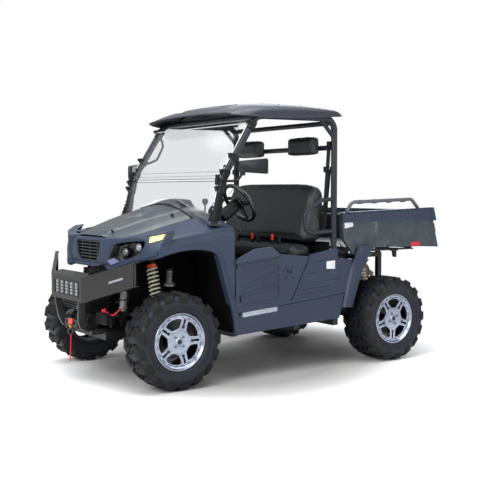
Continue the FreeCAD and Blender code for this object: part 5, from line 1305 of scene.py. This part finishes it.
def bed():
    """The bed's side caps, bolts, corner blocks, rail sleeves, reflectors, brackets, rods and floor ribs."""
    dress("bed_box", "patterned", 2)
    dress("tailgate", "patterned", 2)
    dress("bed_rails", "rail_steel")
    dress("tail_lamps", "red_lens", 1)
    cap = [(441, 1160), (449, 1100), (1462, 1098), (1440, 1191), (1424, 1193)]
    for side, word in SIDES:
        trim = Shape()
        trim.side_plate([rounded(cap, 5)], side, 699, 711, 2)
        for y, z in ((583, 1135), (862, 1136), (1127, 1138), (1376, 1141)):
            trim.turned([(0, 3.4), (5, 3), (7, 0), (7, -2)], (side * 711, y, z), (side, 0, 0), 12, mark=1)
        corner = ((640, 1395), (714, 1395), (714, 1440), (640, 1440))
        trim.loft([[(side * x, y + (1204 - z) * 0.28, z) for x, y in corner] for z in (1200, 1092)])
        top = [(437, 1163), (437, 1171), (1420, 1201), (1424, 1193)]
        trim.loft([[(side * x, y, z) for y, z in top] for x in (662, 713)])
        piece(f"bed_cap_{word}", trim, ["body_plastic", "bolt"], "bed", bevel=2.5)
        sleeve = Shape()
        for number in range(4):
            y = 640 + number * 155
            z = 1251 + (y - 640) * 0.0237
            sleeve.turned([(14, -24), (17.5, -20), (17.5, 20), (14, 24)], (side * 686, y, z), (0, 1, 0.024),
                          20)
        piece(f"rail_sleeves_{word}", sleeve, ["rail_steel"], "bed")
        extras = Shape()
        reflector = rounded([(1186, 892), (1286, 890), (1286, 921), (1186, 921)], 3)
        label = rounded([(474, 1048), (560, 1062), (556, 1094), (470, 1092)], 2)
        hook = rounded([(996, 882), (1090, 878), (1086, 856), (1066, 852), (1066, 800), (1040, 806),
                        (1030, 850), (1000, 858)], 6)
        rail = rounded([(640, 884), (1240, 872), (1240, 862), (640, 862)], 3)
        for mark, outline, low, high, edge in ((0, reflector, 700, 704, 1), (1, label, 699.6, 701.2, 0.4),
                                               (2, hook, 640, 662, 2), (2, rail, 640, 680, 2)):
            extras.side_plate([outline], side, low, high, edge, mark=mark)
        piece(f"bed_marks_{word}", extras, ["red_paint", "blank_label", "black_plastic"], "bed")
        rods = Shape()
        rods.tube(catmull([(side * 560, 500, 905), (side * 640, 520, 872), (side * 668, 560, 838),
                           (side * 668, 600, 832)], 6), 6, 10)
        rods.tube([(side * 640, 470, 930), (side * 660, 540, 868)], 5, 8)
        piece(f"release_rods_{word}", rods, ["black_plastic"], "bed")
    ribs = Shape()
    for number in range(9):
        x = -560 + number * 140
        rib = ((x - 22, 902), (x - 14, 909), (x + 14, 909), (x + 22, 902))
        ribs.loft([[(a, y, b) for a, b in rib] for y in (480, 1440)])
    for y in (700, 1000, 1250):
        ribs.block((-640, y - 12, 868), (640, y + 12, 884))
    piece("bed_ribs", ribs, ["patterned"], "bed", bevel=2, fine=1)


def gate():
    """The tailgate's three raised fields and its handle."""
    shape = Shape()
    slope = (1418 - 1507) / (1192 - 873)

    def place(x, z, level):
        return (x, 1507 + (z - 873) * slope - 6 + level, z)

    for left, right in ((-600, -220), (-180, 180), (220, 600)):
        shape.plate([oblong((left, 930), (right, 1120), 22)], 8, place, 3)
    shape.plate([oblong((-90, 1132), (90, 1168), 8)], 12, place, 3, mark=1)
    piece("gate_form", shape, ["patterned", "black_plastic"], "tailgate")


# ---------------------------------------------------------------- cab

# The front pillar's bend, and its direction (along, up) below and above it.
BEND_Z = 1425
LOW_WAY, HIGH_WAY = (0.226, 0.974), (0.543, 0.84)


def pillar_point(z):
    """The front pillar's place along the vehicle at a height."""
    if z < BEND_Z:
        return between(-688, -614, (z - 1106) / 319)
    return between(-614, -325, (z - BEND_Z) / 447)


def cage():
    """The cage's tubes with the screen clamps, belt guides, bellows and bolts."""
    dress("cage_sides", "cage_steel")
    dress("cage_cross", "cage_steel")
    for side, word in SIDES:
        clamps = Shape()
        for z, long in ((1346, 30), (1392, 26), (1452, 30), (1800, 34), (1566, 22)):
            y = pillar_point(z)
            way = Vector((0, *(LOW_WAY if z < BEND_Z else HIGH_WAY)))
            clamps.turned([(25, -long), (31, -long), (33, -long + 3), (33, long - 3), (31, long), (25, long)],
                          (side * 650, y, z), way, 28)
            front = Vector((side * 650, y, z)) + Vector((0, -way.z, way.y)) * 30
            clamps.block((-17, -11, -18), (17, 11, 18), 0, Matrix.Translation(front))
            clamps.turned([(0, 27), (7, 27), (8, 24), (8, 0)], front, (0, -way.z, way.y), 6, mark=1)
            clamps.turned([(0, 22), (11, 21), (13, 16), (11, 11), (0, 10)], front + Vector((side * 20, 0, 8)),
                          (side, 0, 0), 14)
        piece(f"screen_clamps_{word}", clamps, ["black_plastic", "bolt"], bevel=1.5, fine=1)
        bellows = Shape()
        rings = []
        for number in range(15):
            z = 1128 + number * 13.5
            grow = between(44, 27, number / 14) + (3 if number % 2 else -3)
            y = pillar_point(z) if z > 1200 else pillar_point(1200) - (1200 - z) * 0.3
            rings.append([(a, b, z) for a, b in disc(side * 650, y, grow, 24)])
        bellows.loft(rings)
        piece(f"pillar_bellows_{word}", bellows, ["rubber"], sharp=80)
        guide = Shape()
        guide.block((side * 615 - 16, 372, 1660), (side * 615 + 16, 398, 1712))
        guide.turned([(0, 14), (14, 14), (16, 10), (16, -10)], (side * 615, 385, 1686), (0, 1, 0), 20, mark=1)
        guide.block((side * 612 - 24, 350, 1476), (side * 612 + 10, 372, 1520))
        strap = [(side * 603, 392, 1670), (side * 604, 380, 1520), (side * 604, 362, 1300),
                 (side * 598, 345, 1020)]
        rows = [[(x - 22, y, z), (x - 20, y + 2.4, z), (x + 20, y + 2.4, z), (x + 22, y, z),
                 (x + 20, y - 1, z), (x - 20, y - 1, z)] for x, y, z in catmull(strap, 8)]
        guide.loft(rows, mark=2)
        piece(f"belt_guide_{word}", guide, ["black_plastic", "bolt", "belt"], bevel=1.5, fine=1)
    dress("seat_belts", "belt")


def roof():
    """The moulded roof: raised centre, swept flutes in front, shouldered sides with a turned-out hem."""
    stations = [(-499, [(0, 1907), (200, 1906), (380, 1900), (500, 1895), (560, 1889), (592, 1879)]),
                (-407, [(0, 1952), (210, 1950), (400, 1942), (540, 1929), (638, 1903), (668, 1870)]),
                (-267, [(0, 1986), (220, 1984), (420, 1974), (570, 1958), (672, 1926), (702, 1862)]),
                (73, [(0, 1996), (225, 1994), (430, 1985), (585, 1970), (682, 1936), (706, 1877)]),
                (365, [(0, 1982), (225, 1980), (425, 1972), (585, 1959), (680, 1938), (704, 1897)]),
                (446, [(0, 1950), (220, 1949), (420, 1944), (575, 1936), (660, 1926), (686, 1905)])]
    rows = skin(stations, 7, 12)
    made = []
    for row in rows:
        y = row[0][1]
        line = []
        for x, _, z in row:
            reach = abs(x)
            front = 1 - step_up(y, -330, -120)
            # The front's flutes, the shoulders' grooves, and the raised field with its three grooves.
            z -= 13 * bump(reach, 300 + (y + 499) * 0.35, 95) * front * step_up(y, -499, -430)
            z -= 4 * bump(reach, 530, 40) * step_up(y, -260, -160) * (1 - step_up(y, 380, 430))
            field = step_up(reach, 490, 470) if reach < 480 else 1 - step_up(reach, 470, 492)
            z += 4 * field * step_up(y, -190, -150) * (1 - step_up(y, 330, 370))
            for groove in (120, 250, 380):
                z -= 4 * bump(reach, groove, 26) * step_up(y, -120, -60) * (1 - step_up(y, 280, 330))
            line.append((x, y, min(z, 1997)))
        made.append(line)
    shape = Shape()
    shape.grid(made)
    piece("roof_skin", shape, ["roof_plastic"], solid=5, bevel=1.5, fine=1, stands_for=["roof"])
    under = Shape()
    edge = [row[0] for row in made[::-1]] + made[0][1:-1] + [row[-1] for row in made]
    under.tube([(x, y, z - 3) for x, y, z in edge], 5, 8)
    for y in (-187, 285):
        level = 1880 + (y + 325) * 0.0137
        arch = [(-660, y, level + 14), (-560, y, 1936), (-300, y, 1962), (0, y, 1972), (300, y, 1962),
                (560, y, 1936), (660, y, level + 14)]
        under.tube(catmull(arch, 5), 13, 12, flat=0.8, mark=1)
    for side in (1, -1):
        for y, z, x in ((-300, 1972, 360), (-60, 1972, 560), (150, 1973, 560), (330, 1966, 560)):
            under.turned([(0, 5), (6, 4), (9, 0), (9, -3)], (side * x, y, z - 2), (0, 0, 1), 14, mark=2)
    piece("roof_trim", under, ["roof_plastic", "frame_steel", "deep_black"])


def windscreen():
    """Two clear panels with bright edge strips, a painted highlight of the light caught in the clear sheets'
    edges, the fold between them and black corner clips.
    """
    dress("windscreen", "screen")
    edges = Shape()
    off = 34
    low = [(pillar_point(z) - off * LOW_WAY[1], z + off * LOW_WAY[0] - 8) for z in (1136, 1404)]
    high = [(pillar_point(z) - off * HIGH_WAY[1], z + off * HIGH_WAY[0]) for z in (1401, 1796)]
    for side in (1, -1):
        edges.tube([(side * 650, *low[0]), (side * 650, *low[1])], 3, 8)
        edges.tube([(side * 650, *high[0]), (side * 650, *high[1])], 3.4, 8)
        for y, z in (low[1], (high[0][0], high[0][1] + 12)):
            edges.block((side * 640 - 22, y - 9, z - 26), (side * 640 + 14, y + 5, z + 18), 1)
    for place, thick, mark in ((low[1], 2.6, 2), (high[0], 2.6, 2), (high[1], 4, 0)):
        edges.tube([(-648, *place), (648, *place)], thick, 8, mark=mark)
    for shift in (26, 60):
        fold = (high[0][0] + shift * HIGH_WAY[0] - 3, high[0][1] + shift * HIGH_WAY[1])
        edges.tube([(-640, *fold), (640, *fold)], 1.4, 6, mark=2)
    piece("screen_edges", edges, ["painted_highlight_edge", "black_plastic", "dull_steel"])


def mirrors():
    """Side mirrors: a rounded shell and glass on a cranked arm clamped to the pillar."""
    for side, word in SIDES:
        shape = Shape()
        turn = Matrix.Translation((785, -574, 1505)) @ Matrix.Rotation(math.radians(44.5), 4, "Z")

        def place(a, b, level):
            point = turn @ Vector((a, level, b))
            return (side * point.x, point.y, point.z)

        outline = rounded([(-4, -40), (196, -54), (204, -44), (204, 44), (192, 53), (4, 36)], 12)
        rings = []
        for grow, depth in ((0.86, -24), (0.96, -20), (1.0, -10), (1.0, 8), (0.97, 13)):
            rings.append([place(100 + (a - 100) * grow, b * grow, depth) for a, b in outline])
        shape.loft(rings)
        glass = rounded([(8, -34), (190, -46), (196, -38), (196, 38), (186, 45), (12, 30)], 10)
        shape.loft([[place(a, b, 13.2) for a, b in glass], [place(a, b, 14.4) for a, b in glass]], mark=1)
        arm = catmull([(side * 674, -618, 1405), (side * 740, -600, 1404), (side * 785, -590, 1408),
                       (side * 800, -566, 1440), (side * 806, -562, 1470), (side * 812, -560, 1500)], 6)
        shape.tube(arm, 9, 12)
        shape.turned(roller(19, 20, 2), (side * 812, -560, 1462), (0, 0.1, 1), 20)
        piece(f"mirror_look_{word}", shape, ["mirror_shell", "mirror_face"], sharp=40)
    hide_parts("mirrors")


def swollen(thing, cap, size, frames=20):
    """Blows a cushion up like a filled cover: remeshed to a size in millimetres, simulated as cloth, and
    frozen with its travel capped."""
    mesh_tool = thing.modifiers.new("even", "REMESH")
    mesh_tool.mode = "VOXEL"
    mesh_tool.voxel_size = size * MM
    bpy.context.view_layer.objects.active = thing
    bpy.ops.object.modifier_apply(modifier="even")
    rest = [v.co.copy() for v in thing.data.vertices]
    cloth = thing.modifiers.new("cover", "CLOTH")
    cloth.settings.use_pressure = True
    cloth.settings.uniform_pressure_force = 4
    cloth.settings.effector_weights.gravity = 0
    for frame_number in range(1, frames + 1):
        bpy.context.scene.frame_set(frame_number)
    shown = thing.evaluated_get(bpy.context.evaluated_depsgraph_get())
    moved = [v.co.copy() for v in shown.data.vertices]
    thing.modifiers.remove(cloth)
    for vertex, start, end in zip(thing.data.vertices, rest, moved):
        step = end - start
        vertex.co = start + (step if step.length < cap * MM else step.normalized() * cap * MM)
    bpy.context.scene.frame_set(1)
    thing.data.shade_smooth()


def cushion(name, node, outline, round_by, half=574, cap=12, crown=0):
    """A seat pad: a rounded block across the vehicle, its ends lower by the crown, then blown up."""
    shape = Shape()
    line = rounded(outline, round_by, steps=6)
    middle = Vector((sum(y for y, z in line) / len(line), sum(z for y, z in line) / len(line)))
    rings = []
    low, high = min(z for y, z in line), max(z for y, z in line)
    for share, x in ((0.70, half), (0.88, half - 7), (0.96, half - 22), (1.0, half - 48), (1.0, half - 95),
                     (1.0, half - 160), (1.0, half - 260), (1.0, 0.0)):
        drop = crown * (x / half) ** 7
        rings.append([(x, between(middle.x, y, share),
                       between(middle.y, z, share) - drop * (z - low) / (high - low)) for y, z in line])
    shape.loft(rings + flip(rings[:-1], -1)[::-1])
    pad = piece(name, shape, ["vinyl"], sharp=80, stands_for=[node])
    swollen(pad, cap, size=7)


def seats():
    """The bench: cushion and back with sewn seams, head rests, buckles and the moulded base."""
    dress("seat_base", "black_plastic", 4)
    cushion("bench_cushion", "seat_cushion", [(50, 802), (46, 900), (76, 922), (250, 914), (250, 816)],
            round_by=30)
    back = [(178, 945), (288, 1370), (312, 1402), (360, 1402), (376, 1374), (382, 1040), (366, 975),
            (300, 940)]
    cushion("bench_back", "seat_back", back, round_by=26, crown=58)
    seams = Shape()
    for side in (1, -1):
        arc = catmull([(420, 208, 968), (414, 228, 1050), (430, 252, 1130), (480, 272, 1186),
                       (540, 284, 1206), (580, 300, 1212)], 7)
        seams.tube([(side * x, y - 4, z) for x, y, z in arc], 2.6, 6)
    seams.tube([(-560, 46, 868), (0, 40, 868), (560, 46, 868)], 2.6, 6)
    seams.tube(catmull([(-556, 262, 1306), (-480, 268, 1348), (-300, 272, 1368), (0, 272, 1370),
                        (300, 272, 1368), (480, 268, 1348), (556, 262, 1306)], 4), 2.4, 6)
    piece("seat_seams", seams, ["seam"])
    buckles = Shape()
    for x in (-169, 108, 369):
        buckles.block((x - 12, 24, 946), (x + 12, 36, 1004))
        buckles.block((x - 15, 20, 930), (x + 15, 40, 962), 1)
        buckles.block((x + 60, 24, 930), (x + 96, 40, 990), 1)
    piece("seat_buckles", buckles, ["orange_red", "black_plastic"], bevel=3)
    for side, word in SIDES:
        shape = Shape()
        outline = rounded([(184, 1618), (516, 1618), (518, 1660), (512, 1736), (494, 1748), (206, 1748),
                           (188, 1736), (182, 1660)], 34, steps=6)
        rings = []
        for share, y in ((0.72, 304), (0.9, 308), (0.97, 318), (1.0, 336), (0.99, 362), (0.94, 376),
                         (0.8, 382)):
            rings.append([(side * between(350, x, share), y, between(1683, z, share)) for x, z in outline])
        shape.loft(rings)
        rest = piece(f"head_rest_{word}", shape, ["vinyl"], sharp=80)
        swollen(rest, cap=6, size=6, frames=14)
    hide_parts("headrests")


def cab():
    """The dash with its panel, switches, shifter, column shroud and wheel, the floor and the rear panel."""
    dress("dash", "black_plastic", 4)
    dress("floor", "black_plastic", 1.5)
    dress("steering_wheel", "black_gloss")
    centre = Vector((350, -267, 1245))
    rake = math.radians(33)
    way = Vector((0, math.cos(rake), math.sin(rake)))
    down = Vector((0, math.sin(rake), -math.cos(rake)))
    pad = Shape()
    pad.turned([(0, 16), (36, 14), (46, 6), (48, -4), (44, -14), (30, -18)], centre, way, 32)
    for turn in map(math.radians, (0, 90, 180)):
        ahead = Vector((math.cos(turn), 0, 0)) + down * math.sin(turn)
        start = centre + ahead * 34 + way * 2
        end = centre + ahead * 152
        across = way.cross(ahead).normalized()
        rings = [[start + across * 22 * a + way * b for a, b in ((-1, -5), (-1, 5), (1, 5), (1, -5))],
                 [end + across * 12 * a + way * b for a, b in ((-1, -4), (-1, 4), (1, 4), (1, -4))]]
        pad.loft(rings)
    piece("wheel_pad", pad, ["black_plastic"], "steering", bevel=3)
    parts = Shape()
    foot = centre - way * 200
    parts.turned([(26, 0), (44, 10), (48, 60), (44, 150), (30, 170)], foot, way, 28)
    parts.tube([(242, -505, 1090), (242, -500, 1180), (240, -498, 1232)], 7, 10, mark=1)
    parts.turned([(0, 34), (14, 32), (22, 22), (23, 10), (17, -6), (10, -14), (0, -16)], (240, -498, 1246),
                 (0, 0, 1), 24)
    parts.block((-60, -410, 1010), (120, -398, 1075), 2)
    parts.block((-420, -404, 985), (-160, -392, 1080), 0)
    for x in (170, 200, 500, 530):
        parts.block((x, -402, 1040), (x + 22, -392, 1062), 2)
    parts.tube([(-430, -520, 1130), (-300, -530, 1150), (0, -540, 1160), (300, -530, 1150),
                (430, -520, 1130)], 26, 14)
    wall = Shape()
    wall.loft([[(x, y, z) for y, z in rounded([(362, 440), (372, 440), (372, 828), (600, 828), (600, 834),
                                               (382, 836), (374, 946), (364, 946)], 3)] for x in (-640, 640)])
    piece("cab_rear_panel", wall, ["black_plastic"])
    piece("dash_parts", parts, ["black_plastic", "dull_steel", "black_gloss"], bevel=3)


def running_gear():
    """Frame, arms, shafts, knuckles, engine and exhaust, with the shafts' boots, steering rods and fins."""
    looks = {"frame": ("frame_steel", 2), "hitch": ("frame_steel", 1), "suspension_arms": ("frame_steel", 1),
             "half_shafts": ("frame_steel", 1), "knuckle_left": ("cast_alloy", 2),
             "knuckle_right": ("cast_alloy", 2), "engine": ("cast_alloy", 3), "exhaust": ("exhaust_steel", 1)}
    for node, (look, edge) in looks.items():
        dress(node, look, edge)
    boots = Shape()
    for side in (1, -1):
        for end, x in (("front", 420), ("rear", 400)):
            profile = [(between(24, 42, k / 8) + (4 if k % 2 else 0), k * 9) for k in range(9)]
            spot = (side * x, WHEELS[end][0], AXLE_Z + 100 * (520 - x) / 520)
            boots.turned(profile, spot, (side, 0, -0.22), 24)
        boots.tube([(side * 180, -950, 300), (side * 540, -945, 249)], 8, 12, mark=1)
    piece("gear_boots", boots, ["rubber", "dull_steel"], sharp=70)
    cooler = Shape()
    for number in range(10):
        cooler.block((-186 + number * 40, 512, 560), (-180 + number * 40, 788, 640), 0)
    piece("engine_fins", cooler, ["cast_alloy"], bevel=1, fine=1)


# ---------------------------------------------------------------- build and close

make_looks()
for make in (camera, winch_strap, floor, lamps, sky, wheels, hood, cowl, fenders, grille, nose, bumper, winch,
             front_gear, shocks, doors, sides, bed, gate, cage, roof, windscreen, mirrors, seats, cab,
             running_gear):
    make()
